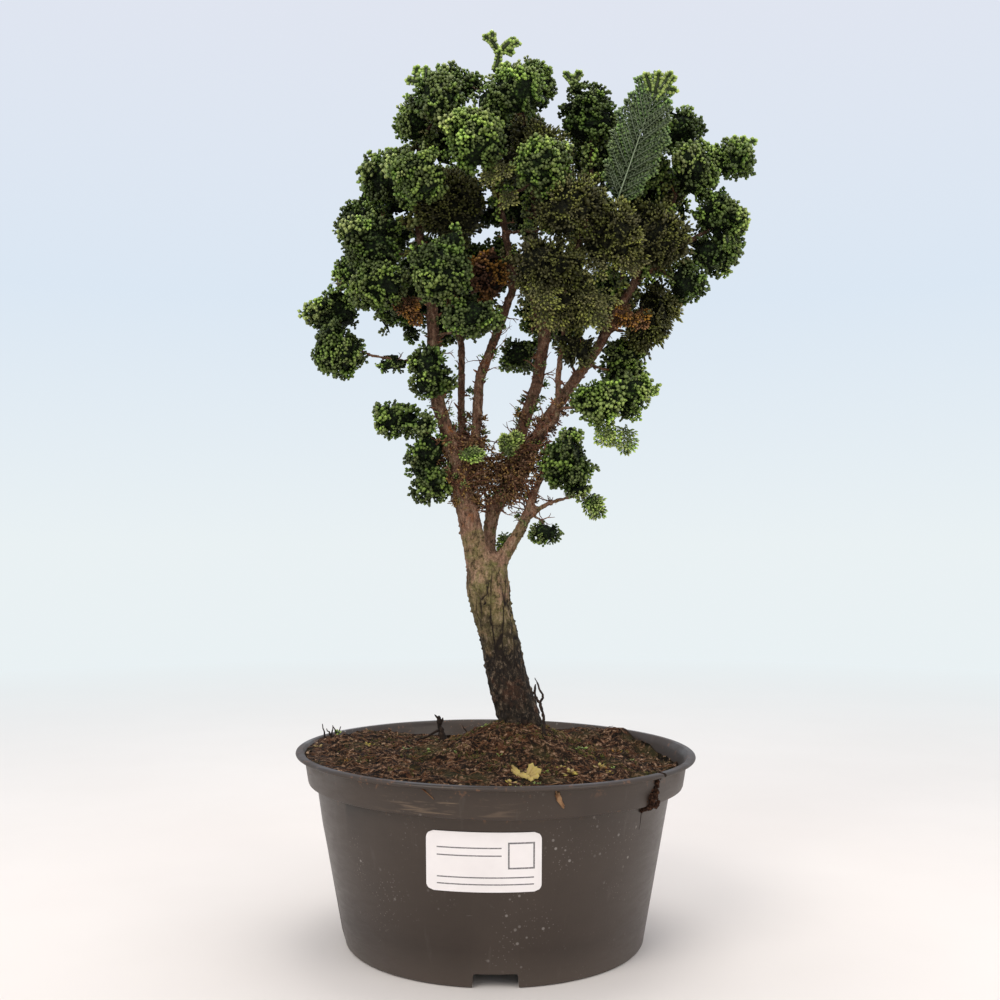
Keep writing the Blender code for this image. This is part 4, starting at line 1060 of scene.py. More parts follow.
def makeTangle():
    draw = random.Random(tangle["seed"])
    middle, half = tangle["middle"], tangle["half"]
    near = [v for v in trunk.data.vertices
            if sum(((v.co[a] - middle[a]) / half[a]) ** 2 for a in range(3)) < 1.7]
    sticks, leaves = bmesh.new(), bmesh.new()
    layers = sprayLayers(leaves)
    for k in range(tangle["twigs"]):
        start = draw.choice(near).co
        goal = middle + Vector([draw.uniform(-0.9, 0.9) * half[a] for a in range(3)])
        way = goal - start
        way = way.normalized() * min(way.length, 0.014)
        points = [(start + way * j / 4 + Vector([draw.uniform(-0.9, 0.9) for a in range(3)]) * mm
                   * min(j, 1), (0.42 - 0.07 * j) * mm) for j in range(5)]
        addTube(sticks, points, 3)
        for point, radius in points[2:]:
            count = len(leaves.verts)
            for bud in range(4):
                heading = Vector([draw.uniform(-1, 1) for a in range(3)]).normalized()
                addBud(leaves, layers[0], point, heading, heading.orthogonal(),
                       draw.uniform(1.6, 3.0) * mm, draw.uniform(0.8, 1.3) * mm)
            markNew(leaves, layers, count, draw.random(), draw.uniform(0.4, 0.95), 0.0)
    for name, bm, material, slot in (("forkSticks", sticks, bpy.data.materials["redTwigs"], "bark"),
                                     ("forkLeaves", leaves, deadLeaf, "foliage_dry")):
        bmesh.ops.recalc_face_normals(bm, faces=bm.faces)
        mesh = meshOf(name, bm)
        mesh.shade_smooth()
        dress(newPiece(name, mesh, material), slot)


makeTangle()


print("pot")
pot = {
    "steps": 160,
    "rim": 95.0,
    "height": 88.0,
    "foot": 70.0,
    "wall": 1.6,
    "channelWidth": 20.0,
    "channelHeight": 6.5,
    "channelLength": 22.0,
    "splitTurn": math.radians(-39.6),
    "splitFoot": 62.0,
    "specks": 0.66,               # higher leaves fewer lime specks
    "bulge": 0.028,               # the body is a little wider on its left side
    "lift": 2.2,                  # the rim stands higher on the left
}


def smooth(value):
    value = min(max(value, 0.0), 1.0)
    return value * value * (3.0 - 2.0 * value)


def rimLift(x):
    return pot["lift"] * (1.0 - x / 94.5) / 2


def bendPot(mesh):
    for vert in mesh.vertices:
        x, z = vert.co.x / mm, vert.co.z / mm
        if x < 0:
            vert.co.x *= 1.0 + pot["bulge"] * smooth((73.4 - z) / 1.6) * smooth(z / 9.0 + 0.45)
        vert.co.z += rimLift(x) * smooth((z - 58.0) / 16.0) * mm
    mesh.update()


def plasticMaterial():
    material, tree, shader = newMaterial("scuffedPlastic", 0.4, 0.6)
    point = objectPoint(tree)
    height = heightOf(tree)
    cloud = noiseValue(tree, point, 22.0, 5.0, 0.6, 0.3)
    streak = noiseValue(tree, objectPoint(tree, (1.0, 1.0, 0.12)), 160.0, 4.0, 0.6)
    scuff = noiseValue(tree, objectPoint(tree, (0.25, 0.25, 1.0)), 300.0, 5.0, 0.75, 0.8)
    specks = addNode(tree, "ShaderNodeTexVoronoi", {"Vector": point, "Scale": 210.0})
    spread = noiseValue(tree, point, 33.0, 2.0)
    dust = addNode(tree, "ShaderNodeTexVoronoi", {"Vector": point, "Scale": 640.0})
    smear = noiseValue(tree, objectPoint(tree, (0.10, 0.10, 1.0)), 520.0, 4.0, 0.6, 0.4)
    blots = noiseValue(tree, point, 330.0, 4.0, 0.6)
    side = addNode(tree, "ShaderNodeSeparateXYZ", {"Vector": point}).outputs["X"]
    plain = ramp(tree, cloud, ((0.3, (0.020, 0.013, 0.010)), (0.7, (0.032, 0.022, 0.017))))
    plain = blend(tree, rangeOf(tree, streak, 0.62, 0.8, 0.0, 0.35), plain, (0.10, 0.085, 0.075))
    plain = blend(tree, rangeOf(tree, scuff, 0.66, 0.76, 0.0, 0.5), plain, (0.16, 0.14, 0.125))
    dusty = sums(tree, "MULTIPLY", rangeOf(tree, height, 0.070, 0.088),
                 rangeOf(tree, cloud, 0.42, 0.66))
    plain = blend(tree, sums(tree, "MULTIPLY", dusty, 0.12), plain, (0.10, 0.062, 0.04))
    footDust = sums(tree, "MULTIPLY", rangeOf(tree, height, 0.016, 0.0), 0.35)
    plain = blend(tree, footDust, plain, (0.13, 0.10, 0.08))
    band = sums(tree, "MULTIPLY", rangeOf(tree, height, 0.0735, 0.0765), rangeOf(tree, height, 0.0855, 0.083))
    patch = sums(tree, "MULTIPLY", rangeOf(tree, side, -0.052, -0.034), rangeOf(tree, side, 0.012, -0.006))
    wiped = sums(tree, "MULTIPLY", rangeOf(tree, smear, 0.55, 0.66), sums(tree, "MULTIPLY", band, patch))
    plain = blend(tree, sums(tree, "MULTIPLY", wiped, 0.5), plain, (0.20, 0.135, 0.085))
    crumbly = sums(tree, "MULTIPLY", rangeOf(tree, blots, 0.60, 0.66),
                   sums(tree, "ADD", rangeOf(tree, height, 0.0815, 0.0855), sums(
                       tree, "MULTIPLY", rangeOf(tree, height, 0.0715, 0.0735), rangeOf(tree, height, 0.0765, 0.0745))))
    plain = blend(tree, sums(tree, "MULTIPLY", crumbly, 0.8), plain, (0.13, 0.060, 0.030))
    dotted = sums(tree, "MULTIPLY", rangeOf(tree, dust.outputs["Distance"], 0.20, 0.12),
                  rangeOf(tree, spread, 0.52, 0.66, 0.0, 0.28))
    plain = blend(tree, dotted, plain, (0.36, 0.31, 0.27))
    dots = sums(tree, "MULTIPLY", rangeOf(tree, specks.outputs["Distance"], 0.16, 0.10),
                rangeOf(tree, spread, pot["specks"] - 0.12, pot["specks"]))
    plain = blend(tree, sums(tree, "MULTIPLY", dots, 0.45), plain, (0.42, 0.38, 0.34))
    tree.links.new(plain, shader.inputs["Base Color"])
    shader.inputs["Specular Tint"].default_value = (1.0, 0.89, 0.79, 1.0)
    rough = sums(tree, "ADD", rangeOf(tree, scuff, 0.3, 0.8, 0.36, 0.50),
                 sums(tree, "MULTIPLY", dusty, 0.25))
    tree.links.new(rough, shader.inputs["Roughness"])
    grain = noiseValue(tree, point, 1300.0, 3.0)
    ripple = sums(tree, "ADD", sums(tree, "MULTIPLY", grain, 0.25), sums(tree, "MULTIPLY", scuff, 0.3))
    bump(tree, shader, ripple, 0.25 * mm, 0.5)
    return material


def potProfile():
    rim, top, foot = pot["rim"], pot["height"], pot["foot"]
    return ((0.0, 0.0), (foot - 1.6, 0.0), (foot - 0.5, 0.35), (foot + 0.05, 1.2),
            (83.0 - 2.9, 56.5), (83.0, 72.2), (83.35, 72.8), (88.2, 73.5), (88.85, 73.8),
            (89.1, 74.4), (90.9, 85.2), (91.15, 85.75), (91.8, 86.0), (94.2, 86.15), (94.8, 86.45),
            (rim, 86.95), (94.85, 87.5), (94.4, 87.85), (93.7, top), (0.0, top))


def blockMesh(name, outline, near, far, turn):
    bm = bmesh.new()
    ends = [[bm.verts.new(turn @ Vector((x * mm, y * mm, z * mm))) for x, z in outline]
            for y in (near, far)]
    bm.faces.new(ends[0])
    bm.faces.new(list(reversed(ends[1])))
    for k in range(len(outline)):
        j = (k + 1) % len(outline)
        bm.faces.new((ends[0][j], ends[0][k], ends[1][k], ends[1][j]))
    bmesh.ops.recalc_face_normals(bm, faces=bm.faces)
    return bpy.data.objects.new(name, meshOf(name, bm))


def channelBlocks(grow):
    half, top = pot["channelWidth"] / 2 + grow, pot["channelHeight"] + grow
    outline = ((-half, -2.0), (half, -2.0), (half - 0.7, top - 0.6), (half - 1.4, top),
               (-half + 1.4, top), (-half + 0.7, top - 0.6))
    return [blockMesh("channel", outline, -82.0, -(pot["foot"] - pot["channelLength"] - grow),
                      Matrix.Rotation(math.pi / 2 * k, 4, "Z")) for k in range(4)]


def splitOutline(grow=0.0):
    draw = random.Random(21)
    low, high, count = pot["splitFoot"], pot["height"] + 3.0, 13
    left, right = [], []
    for k in range(count):
        share = k / (count - 1)
        half = 0.12 + 0.95 * share ** 1.2 + grow
        drift = 0.55 * math.sin(3.1 * share * math.pi + 0.6) * (1 - 0.5 * share)
        z = low + (high - low) * share
        left.append((drift - half + draw.uniform(-0.3, 0.3) * share, z))
        right.append((drift + half + draw.uniform(-0.3, 0.3) * share, z))
    return right + left[::-1]


def carve(piece, *cutters):
    for cutter in cutters:
        bpy.context.scene.collection.objects.link(cutter)
        cut = piece.modifiers.new("cut", "BOOLEAN")
        cut.operation, cut.solver, cut.object = "DIFFERENCE", "EXACT", cutter
    freeze(piece)
    for cutter in cutters:
        bpy.data.objects.remove(cutter)
    return piece


def makePot():
    wall = pot["wall"]
    steps = pot["steps"]
    inside = ((0.0, 2.2), (pot["foot"] - wall, 2.2), (83.0 - wall, 73.3), (89.0 - wall, 75.4),
              (89.5, 84.6), (90.3, 86.4), (91.3, 87.6), (92.0, 88.2), (92.0, 94.0), (0.0, 94.0))
    cavity = newPiece("cavity", lathe("cavity", inside, steps))
    carve(cavity, *channelBlocks(wall))
    bpy.context.scene.collection.objects.unlink(cavity)
    piece = newPiece("nurseryPot", lathe("nurseryPot", potProfile(), steps))
    split = blockMesh("split", splitOutline(), -100.0, -76.0,
                      Matrix.Rotation(pot["splitTurn"] + math.pi / 2, 4, "Z"))
    drains = []
    for k in range(4):
        drain = bpy.data.objects.new("drain", lathe("drain", ((0, -1), (4, -1), (4, 12), (0, 12)), 20))
        spot = Matrix.Rotation(math.pi / 2 * k, 4, "Z") @ Vector((0, -56.0 * mm, 0))
        drain.data.transform(Matrix.Translation(spot))
        drains.append(drain)
    carve(piece, cavity, split, *channelBlocks(0.0), *drains)
    mesh = piece.data
    bendPot(mesh)
    mesh.materials.append(plasticMaterial())
    mesh.shade_smooth()
    mesh.set_sharp_from_angle(angle=math.radians(38))
    dress(piece, "plastic", "pot")
    return piece


makePot()


print("label")
label = {
    "middle": (-4.6, 55.0),
    "width": 47.4,
    "height": 25.0,
    "corner": 3.0,
    "thickness": 0.4,
    "columns": 60,
    "rows": 30,
}


def wallRadius(z):
    return 70.0 + (83.0 - 70.0) / (72.5 - 1.0) * (z - 1.0)


def labelMaterial():
    material, tree, shader = newMaterial("paperLabel", 0.55, 0.3)
    point = addNode(tree, "ShaderNodeTexCoord").outputs["Object"]
    parts = addNode(tree, "ShaderNodeSeparateXYZ", {"Vector": point})
    across, height = parts.outputs["X"], parts.outputs["Z"]
    ink = None
    midX, midZ = label["middle"]
    bars = ((-20.0, 7.0, 6.5, 0.28), (-20.0, 7.0, 3.2, 0.28), (-20.0, 20.5, -6.2, 0.28),
            (-20.0, 20.5, -9.2, 0.28), (10.0, 20.5, 8.6, 0.35), (10.0, 20.5, -2.2, 0.35))
    uprights = ((10.0, -2.2, 8.6, 0.35), (20.5, -2.2, 8.6, 0.35))
    boxes = [((left + right) / 2, z, (right - left) / 2, half) for left, right, z, half in bars]
    boxes += [(x, (low + high) / 2, half, (high - low) / 2 + half) for x, low, high, half in uprights]
    for x, z, halfX, halfZ in boxes:
        dx = sums(tree, "ABSOLUTE", sums(tree, "SUBTRACT", across, (midX + x) * mm))
        dz = sums(tree, "ABSOLUTE", sums(tree, "SUBTRACT", height, (midZ + z) * mm))
        covered = sums(tree, "MULTIPLY", sums(tree, "LESS_THAN", dx, halfX * mm),
                       sums(tree, "LESS_THAN", dz, halfZ * mm))
        ink = covered if ink is None else sums(tree, "MAXIMUM", ink, covered)
    paper = ramp(tree, noiseValue(tree, objectPoint(tree), 60.0, 4.0),
                 ((0.3, (0.80, 0.74, 0.71)), (0.7, (0.86, 0.80, 0.77))))
    worn = rangeOf(tree, noiseValue(tree, objectPoint(tree), 1600.0, 2.0), 0.25, 0.5, 0.55, 0.85)
    colour = blend(tree, sums(tree, "MULTIPLY", ink, worn), paper, (0.035, 0.033, 0.036))
    tree.links.new(colour, shader.inputs["Base Color"])
    bump(tree, shader, noiseValue(tree, objectPoint(tree), 1000.0, 3.0), 0.05 * mm, 0.4)
    return material


def makeLabel():
    halfW, halfH, corner = label["width"] / 2, label["height"] / 2, label["corner"]
    midX, midZ = label["middle"]
    bm = bmesh.new()
    skins = []
    for skin in (0.12, label["thickness"]):
        grid = []
        for row in range(label["rows"] + 1):
            v = (row / label["rows"] * 2 - 1) * halfH
            over = max(abs(v) - (halfH - corner), 0.0)
            inset = corner - math.sqrt(max(corner ** 2 - over ** 2, 0.0))
            line = []
            for column in range(label["columns"] + 1):
                u = (column / label["columns"] * 2 - 1) * (halfW - inset)
                radius = wallRadius(midZ + v) + skin
                x = midX + u
                line.append(bm.verts.new((x * mm, -math.sqrt(radius ** 2 - x ** 2) * mm, (midZ + v) * mm)))
            grid.append(line)
        skins.append(grid)
    back, front = skins
    last, end = label["rows"], label["columns"]
    for row in range(last):
        for column in range(end):
            bm.faces.new((front[row][column], front[row][column + 1],
                          front[row + 1][column + 1], front[row + 1][column]))
            bm.faces.new((back[row][column], back[row + 1][column],
                          back[row + 1][column + 1], back[row][column + 1]))
        for column in (0, end):
            bm.faces.new((back[row][column], back[row + 1][column],
                          front[row + 1][column], front[row][column]))
    for column in range(end):
        for row in (0, last):
            bm.faces.new((back[row][column], back[row][column + 1],
                          front[row][column + 1], front[row][column]))
    bmesh.ops.recalc_face_normals(bm, faces=bm.faces)
    mesh = meshOf("blankLabel", bm)
    bendPot(mesh)
    mesh.shade_smooth()
    mesh.set_sharp_from_angle(angle=math.radians(45))
    piece = newPiece("blankLabel", mesh, labelMaterial())
    dress(piece, "label", "label")


makeLabel()


print("soil")
soil = {
    "rings": 78,
    "steps": 240,
    "clumpRelief": 2.0,
    "grainRelief": 0.8,
    "mound": (8.0, 0.0, 3.4, 24.0),                         # x, y, height and spread
    "heaps": ((64.0, 56.5, 3.0, 6.5), (77.0, 43.0, 1.5, 5.0), (-80.0, 27.0, 2.0, 8.0)),
    "banks": ((143.0, 20.0, 86.6), (50.0, 21.0, 87.4)),     # turn, half width and level at the wall
    "crumbs": 0.075 / mm ** 2,
    "moss": 0.20 / mm ** 2,
    "fibres": 540,
    "seed": 13,
}
soilBody = mergedCopy("soil")
soilTree = BVHTree.FromBMesh(soilBody)


def wallInside(z):
    return 87.4 + (z - 75.4) * 0.228 if z < 84.6 else 89.5 + (z - 84.6) * 0.444


def soilLevel(x, y):
    hit = soilTree.ray_cast(Vector((x * mm, y * mm, 0.2)), Vector((0, 0, -1)))
    level = hit[0].z / mm if hit[0] else 80.0
    turn = math.degrees(math.atan2(y, x))
    near = smooth((math.hypot(x, y) - 50.0) / 34.0)
    for middle, half, top in soil["banks"]:
        away = (turn - middle + 180.0) % 360.0 - 180.0
        level += max(top - level, 0.0) * near * math.exp(-(away / half) ** 2)
    for middleX, middleY, height, spread in soil["heaps"] + (soil["mound"],):
        level += height * math.exp(-((x - middleX) ** 2 + (y - middleY) ** 2) / spread ** 2)
    return level + rimLift(x)


def soilRelief(x, y):
    lumps = noise.fractal(Vector((x * 0.13, y * 0.13, 3.0)), 1.0, 2.1, 4)
    grain = noise.noise(Vector((x * 0.9, y * 0.9, 7.0)))
    return soil["clumpRelief"] * lumps + soil["grainRelief"] * grain


def soilMaterial():
    material, tree, shader = newMaterial("peatSoil", 0.95, 0.15)
    point = objectPoint(tree)
    chunks = noiseValue(tree, point, 380.0, 6.0, 0.78, 0.5)
    broad = noiseValue(tree, point, 45.0, 3.0)
    # Near-black where the chunk noise is low, the same noise that sinks the bump: the peat's own dark tone and painted
    # shade in the pits
    colour = ramp(tree, chunks, ((0.38, (0.003, 0.002, 0.001)), (0.49, (0.018, 0.009, 0.004)),
                                 (0.56, (0.13, 0.063, 0.030)), (0.65, (0.50, 0.31, 0.19))))
    russet = noiseValue(tree, point, 150.0, 5.0, 0.7)
    colour = blend(tree, rangeOf(tree, russet, 0.55, 0.64, 0.0, 0.55), colour, (0.16, 0.060, 0.024))
    colour = blend(tree, rangeOf(tree, broad, 0.52, 0.66, 0.0, 0.6), colour, (0.045, 0.040, 0.012))
    tree.links.new(colour, shader.inputs["Base Color"])
    bump(tree, shader, chunks, 1.6 * mm, 1.0)
    return material


peat = soilMaterial()


def makeSoil():
    bm = bmesh.new()
    rings, steps = soil["rings"], soil["steps"]
    grid = []
    for ring in range(1, rings + 1):
        line = []
        for step in range(steps):
            turn = 2 * math.pi * step / steps
            share = ring / rings
            radius = 88.0 * share ** 0.9
            x, y = radius * math.cos(turn), radius * math.sin(turn)
            z = soilLevel(x, y) + soilRelief(x, y) * (1.0 if share < 0.97 else 0.6)
            heaped = max(math.exp(-((x - a) ** 2 + (y - b) ** 2) / c ** 2) for a, b, h, c in soil["heaps"])
            z = min(z, 87.2 + 3.2 * heaped + rimLift(x)) if radius > 80 else z
            if ring == rings:
                radius = wallInside(z - rimLift(x)) - 0.2
                x, y = radius * math.cos(turn), radius * math.sin(turn)
            line.append(bm.verts.new((x * mm, y * mm, z * mm)))
        grid.append(line)
    middle = bm.verts.new((0, 0, (soilLevel(0, 0) + soilRelief(0, 0)) * mm))
    skirt = [[bm.verts.new((radius * math.cos(2 * math.pi * step / steps) * mm,
                            radius * math.sin(2 * math.pi * step / steps) * mm, z * mm))
              for step in range(steps)] for radius, z in ((80.8, 72.6), (68.0, 9.6), (48.0, 9.6))]
    bottom = bm.verts.new((0, 0, 9.6 * mm))
    grid += skirt
    for below, above in zip(grid, grid[1:]):
        for step in range(steps):
            j = (step + 1) % steps
            bm.faces.new((below[step], above[step], above[j], below[j]))
    for step in range(steps):
        j = (step + 1) % steps
        bm.faces.new((middle, grid[0][step], grid[0][j]))
        bm.faces.new((bottom, grid[-1][j], grid[-1][step]))
    bmesh.ops.recalc_face_normals(bm, faces=bm.faces)
    mesh = meshOf("peatSoil", bm)
    mesh.shade_smooth()
    return newPiece("peatSoil", mesh, peat)


def makeSpill():
    draw = random.Random(44)
    bm = bmesh.new()
    # height, half width, how far it stands out, shift to the left and the wall's radius down the crack
    path = ((87.6, 0.5, 2.2, 0.0, 91.6), (86.2, 0.7, 1.1, 0.0, 91.2), (84.6, 0.9, 0.8, 0.3, 90.8),
            (83.0, 1.1, 0.8, 0.5, 90.5), (81.4, 1.3, 0.9, 0.8, 90.2), (79.8, 1.7, 1.1, 1.2, 89.9),
            (78.2, 2.2, 1.4, 1.7, 89.6), (76.8, 2.8, 1.7, 2.1, 89.4), (75.4, 3.2, 1.9, 2.6, 89.2),
            (74.2, 3.0, 1.6, 2.8, 88.9), (73.0, 2.4, 1.0, 2.2, 87.4), (71.8, 1.5, 0.5, 0.9, 84.4),
            (70.8, 0.8, 0.2, 0.3, 82.9))
    for z, half, proud, shift, wall in path:
        for crumb in range(4 + int(half * 3.4)):
            count = len(bm.verts)
            bmesh.ops.create_icosphere(bm, subdivisions=2, radius=1.0)
            bm.verts.ensure_lookup_table()
            size = draw.uniform(0.45, 0.75 + 0.22 * half)
            across = draw.uniform(-half, half) - shift
            turn = Matrix.Rotation(pot["splitTurn"] + across / 90.0, 4, "Z")
            middle = Vector((wall + draw.uniform(-0.4, proud), 0.0, z + draw.uniform(-0.8, 0.8) + rimLift(68.0)))
            seed = Vector((draw.uniform(0, 50), 0, 0))
            for vert in bm.verts[count:]:
                lump = 1.0 + 0.55 * noise.noise(vert.co * 1.7 + seed)
                vert.co = turn @ ((middle + vert.co * size * lump) * mm)
    mesh = meshOf("spiltSoil", bm)
    mesh.shade_smooth()
    material, tree, shader = newMaterial("spiltPeat", 0.95, 0.15)
    tone = noiseValue(tree, objectPoint(tree), 700.0, 5.0, 0.75)
    tree.links.new(ramp(tree, tone, ((0.36, (0.006, 0.003, 0.002)), (0.5, (0.035, 0.015, 0.008)),
                                     (0.66, (0.13, 0.062, 0.034)))), shader.inputs["Base Color"])
    bump(tree, shader, tone, 0.5 * mm)
    return newPiece("spiltSoil", mesh, material)


ground = makeSoil()
spill = makeSpill()


def crumbSet():
    group = bpy.data.collections.new("crumbs")
    draw = random.Random(31)
    for k in range(5):
        bm = bmesh.new()
        bmesh.ops.create_icosphere(bm, subdivisions=1, radius=1.0)
        stretch = Vector((draw.uniform(0.7, 1.5), draw.uniform(0.6, 1.0), draw.uniform(0.4, 0.9)))
        for vert in bm.verts:
            vert.co = Vector([vert.co[a] * stretch[a] * draw.uniform(0.65, 1.25) for a in range(3)]) * mm
        group.objects.link(bpy.data.objects.new("crumb%d" % k, meshOf("crumb%d" % k, bm)))
    return group


def mossSet():
    group = bpy.data.collections.new("mossTufts")
    draw = random.Random(37)
    for k in range(4):
        bm = bmesh.new()
        layer = bm.verts.layers.float.new("bud")
        for blade in range(6):
            turn = 2 * math.pi * (blade + draw.random() * 0.6) / 6
            lean = Vector((math.cos(turn), math.sin(turn), draw.uniform(0.5, 1.5))).normalized()
            side = lean.cross(Vector((0, 0, 1))).normalized() * 0.16 * mm
            tip = lean * draw.uniform(1.0, 1.9) * mm
            foot = [bm.verts.new(side), bm.verts.new(-side), bm.verts.new(Vector((0, 0, 0.3 * mm)))]
            end = bm.verts.new(tip)
            end[layer] = 1.0
            bm.faces.new(foot)
            for a, b in ((0, 1), (1, 2), (2, 0)):
                bm.faces.new((foot[b], foot[a], end))
        bmesh.ops.recalc_face_normals(bm, faces=bm.faces)
        group.objects.link(bpy.data.objects.new("moss%d" % k, meshOf("moss%d" % k, bm)))
    return group


def crumbMaterial():
    material, tree, shader = newMaterial("peatCrumbs", 0.95, 0.15)
    tint = attribute(tree, "tint")
    colour = ramp(tree, tint, ((0.0, (0.006, 0.004, 0.002)), (0.45, (0.026, 0.013, 0.007)),
                               (0.74, (0.17, 0.078, 0.038)), (0.93, (0.50, 0.33, 0.20))))
    speckle = noiseValue(tree, objectPoint(tree), 1100.0, 4.0)
    colour = blend(tree, rangeOf(tree, speckle, 0.35, 0.7, 0.0, 0.55), colour, (0.02, 0.013, 0.008))
    tree.links.new(colour, shader.inputs["Base Color"])
    bump(tree, shader, speckle, 0.5 * mm)
    return material


def groundCopy(name, keep):
    host = bmesh.new()
    host.from_mesh(ground.data)
    away = [v for v in host.verts if not keep(v.co)]
    bmesh.ops.delete(host, geom=away, context="VERTS")
    grow = host.verts.layers.float_vector.new("grow")
    weight = host.verts.layers.float.new("weight")
    outer = host.verts.layers.float.new("outer")
    return host, grow, weight, outer


def scatterOnSoil(name, items, cover, perArea, spacing, least, most, lean, lift, seed, weigh, slot):
    host, grow, weight, outer = groundCopy(name, lambda co: co.z > 0.0745)
    for vert in host.verts:
        vert[grow] = (0, 0, 1)
        vert[weight] = weigh(vert.co.x / mm, vert.co.y / mm)
        # a fixed painted light share for these bits
        vert[outer] = 0.75
    piece = newPiece(name, meshOf(name, host), peat)
    growOn(piece, scatter, {
        "Items": items, "Per Area": perArea, "Spacing": spacing, "Least": least, "Most": most,
        "Lean": lean, "Lift": lift, "Seed": seed, "Cover": cover, "Keep Ground": False})
    dress(piece, slot)
    return piece


def mossShare(x, y):
    away = math.hypot(x - soil["mound"][0], y - soil["mound"][1])
    patch = noise.noise(Vector((x * 0.06, y * 0.06, 11.0)))
    near = math.exp(-(away / 34.0) ** 2)
    right = 0.5 * math.exp(-((x - 52.0) ** 2 + (y - 5.0) ** 2) / 30.0 ** 2)
    share = 0.95 * near + right + 1.4 * patch - 0.12
    return min(max(share, 0.0), 1.0) * (1.0 if math.hypot(x, y) < 84 else 0.0)


def crumbShare(x, y):
    return 0.35 + 0.65 * min(max(0.5 + 1.4 * noise.noise(Vector((x * 0.08, y * 0.08, 2.0))), 0.0), 1.0)


def makeFibres():
    draw = random.Random(soil["seed"])
    bm = bmesh.new()
    for k in range(soil["fibres"]):
        radius, turn = 86.0 * math.sqrt(draw.random()), draw.uniform(0, 2 * math.pi)
        x, y = radius * math.cos(turn), radius * math.sin(turn)
        if k % 4 == 0:
            x, y = draw.gauss(soil["mound"][0], 20.0), draw.gauss(soil["mound"][1], 18.0)
        heading = draw.uniform(0, 2 * math.pi)
        thick = draw.uniform(0.10, 0.30)
        points = []
        step = draw.uniform(0.9, 2.6)
        for j in range(5):
            if math.hypot(x, y) > 86.5:
                break
            z = soilLevel(x, y) + soilRelief(x, y) + thick + 0.5 * math.sin(j) * draw.random()
            points.append((Vector((x, y, z)) * mm, thick * (1.0 - 0.12 * j) * mm))
            heading += draw.uniform(-0.7, 0.7)
            x += step * math.cos(heading)
            y += step * math.sin(heading)
        if len(points) > 2:
            addTube(bm, points, 4)
    mesh = meshOf("peatFibres", bm)
    mesh.shade_smooth()
    material, tree, shader = newMaterial("peatFibres", 0.85, 0.2)
    tone = noiseValue(tree, objectPoint(tree), 90.0, 3.0, 0.8)
    tree.links.new(ramp(tree, tone, ((0.32, (0.022, 0.010, 0.005)), (0.48, (0.13, 0.050, 0.020)),
                                     (0.62, (0.30, 0.17, 0.085)))), shader.inputs["Base Color"])
    bump(tree, shader, noiseValue(tree, objectPoint(tree), 2000.0, 2.0), 0.1 * mm)
    dress(newPiece("peatFibres", mesh, material), "soil")


mossLeaf = leafMaterial("soilMoss", (0.022, 0.020, 0.006), (0.085, 0.085, 0.018),
                        (0.22, 0.20, 0.045), 0.85, None, (0.47, 0.51))
crumbs = scatterOnSoil("peatCrumbs", crumbSet(), crumbMaterial(), soil["crumbs"], 0.8 * mm, 0.25, 1.0,
                       1.0, 0.0, 17, crumbShare, "soil")
moss = scatterOnSoil("soilMoss", mossSet(), mossLeaf, soil["moss"], 0.8 * mm, 0.7, 1.6, 0.5, 0.2, 19,
                     mossShare, "soil")
makeFibres()
dress(ground, "soil", "soil")
dress(spill, "soil")


print("bits on the soil and the pot")
bits = {
    # tone of the bit: x and y in mm, how many buds and their size
    "foliage_bright": ((-5.6, 7.7, 9, 1.7), (40.5, -12.8, 10, 1.6), (65.1, 3.8, 5, 1.1), (-42.3, -8.2, 4, 1.5),
                       (-31.5, -21.5, 5, 1.4), (8.6, -76.8, 4, 1.3), (17.8, -67.5, 6, 1.1), (-18.8, -24.6, 3, 1.0),
                       (1.6, -28.7, 5, 1.0), (-80.5, 29.5, 5, 1.5), (22.0, -50.0, 4, 0.9), (55.0, -20.0, 5, 1.0)),
    "shed": ((32.7, -47.4, 9, 1.8), (47.3, -27.7, 8, 1.7), (6.6, -70.4, 5, 1.7), (-59.7, -5.8, 5, 1.6),
             (-84.0, -11.0, 5, 1.4), (29.0, -41.0, 4, 1.3), (52.0, -33.0, 4, 1.2)),
    "foliage_dry": ((34.5, -44.0, 7, 1.6), (50.0, -30.0, 6, 1.3), (-14.4, 26.5, 7, 1.4), (60.0, 20.5, 6, 1.6),
                    (-58.0, -3.0, 5, 1.4), (45.0, -50.0, 6, 1.2), (-20.0, 14.0, 6, 1.2), (-66.0, -40.0, 5, 1.1)),
    # thin dark twigs that stick up: foot and tip in mm
    "sticks": (((-86.0, 28.0, 88.0), (-87.5, 28.0, 96.5)), ((-83.0, 29.0, 88.0), (-82.4, 28.0, 95.6)),
               ((-83.0, 29.0, 90.5), (-85.6, 28.5, 94.0)), ((-80.8, 31.0, 88.0), (-79.0, 31.0, 94.4)),
               ((-80.8, 31.0, 91.0), (-82.2, 31.0, 94.2)), ((-13.0, 15.0, 92.0), (-16.5, 14.0, 98.0))),
    # fibres and a crumb on the band, as points in mm
    "onBand": (((-33.6, -85.3, 87.2), (-30.0, -86.6, 85.3), (-25.8, -88.3, 81.4), 0.28),
               ((24.5, -85.9, 84.4), (25.6, -85.7, 82.0), (27.4, -85.6, 78.6), 0.75),
               ((24.0, -86.2, 86.0), (24.6, -86.0, 84.0), (25.4, -85.9, 82.6), 0.35)),
}


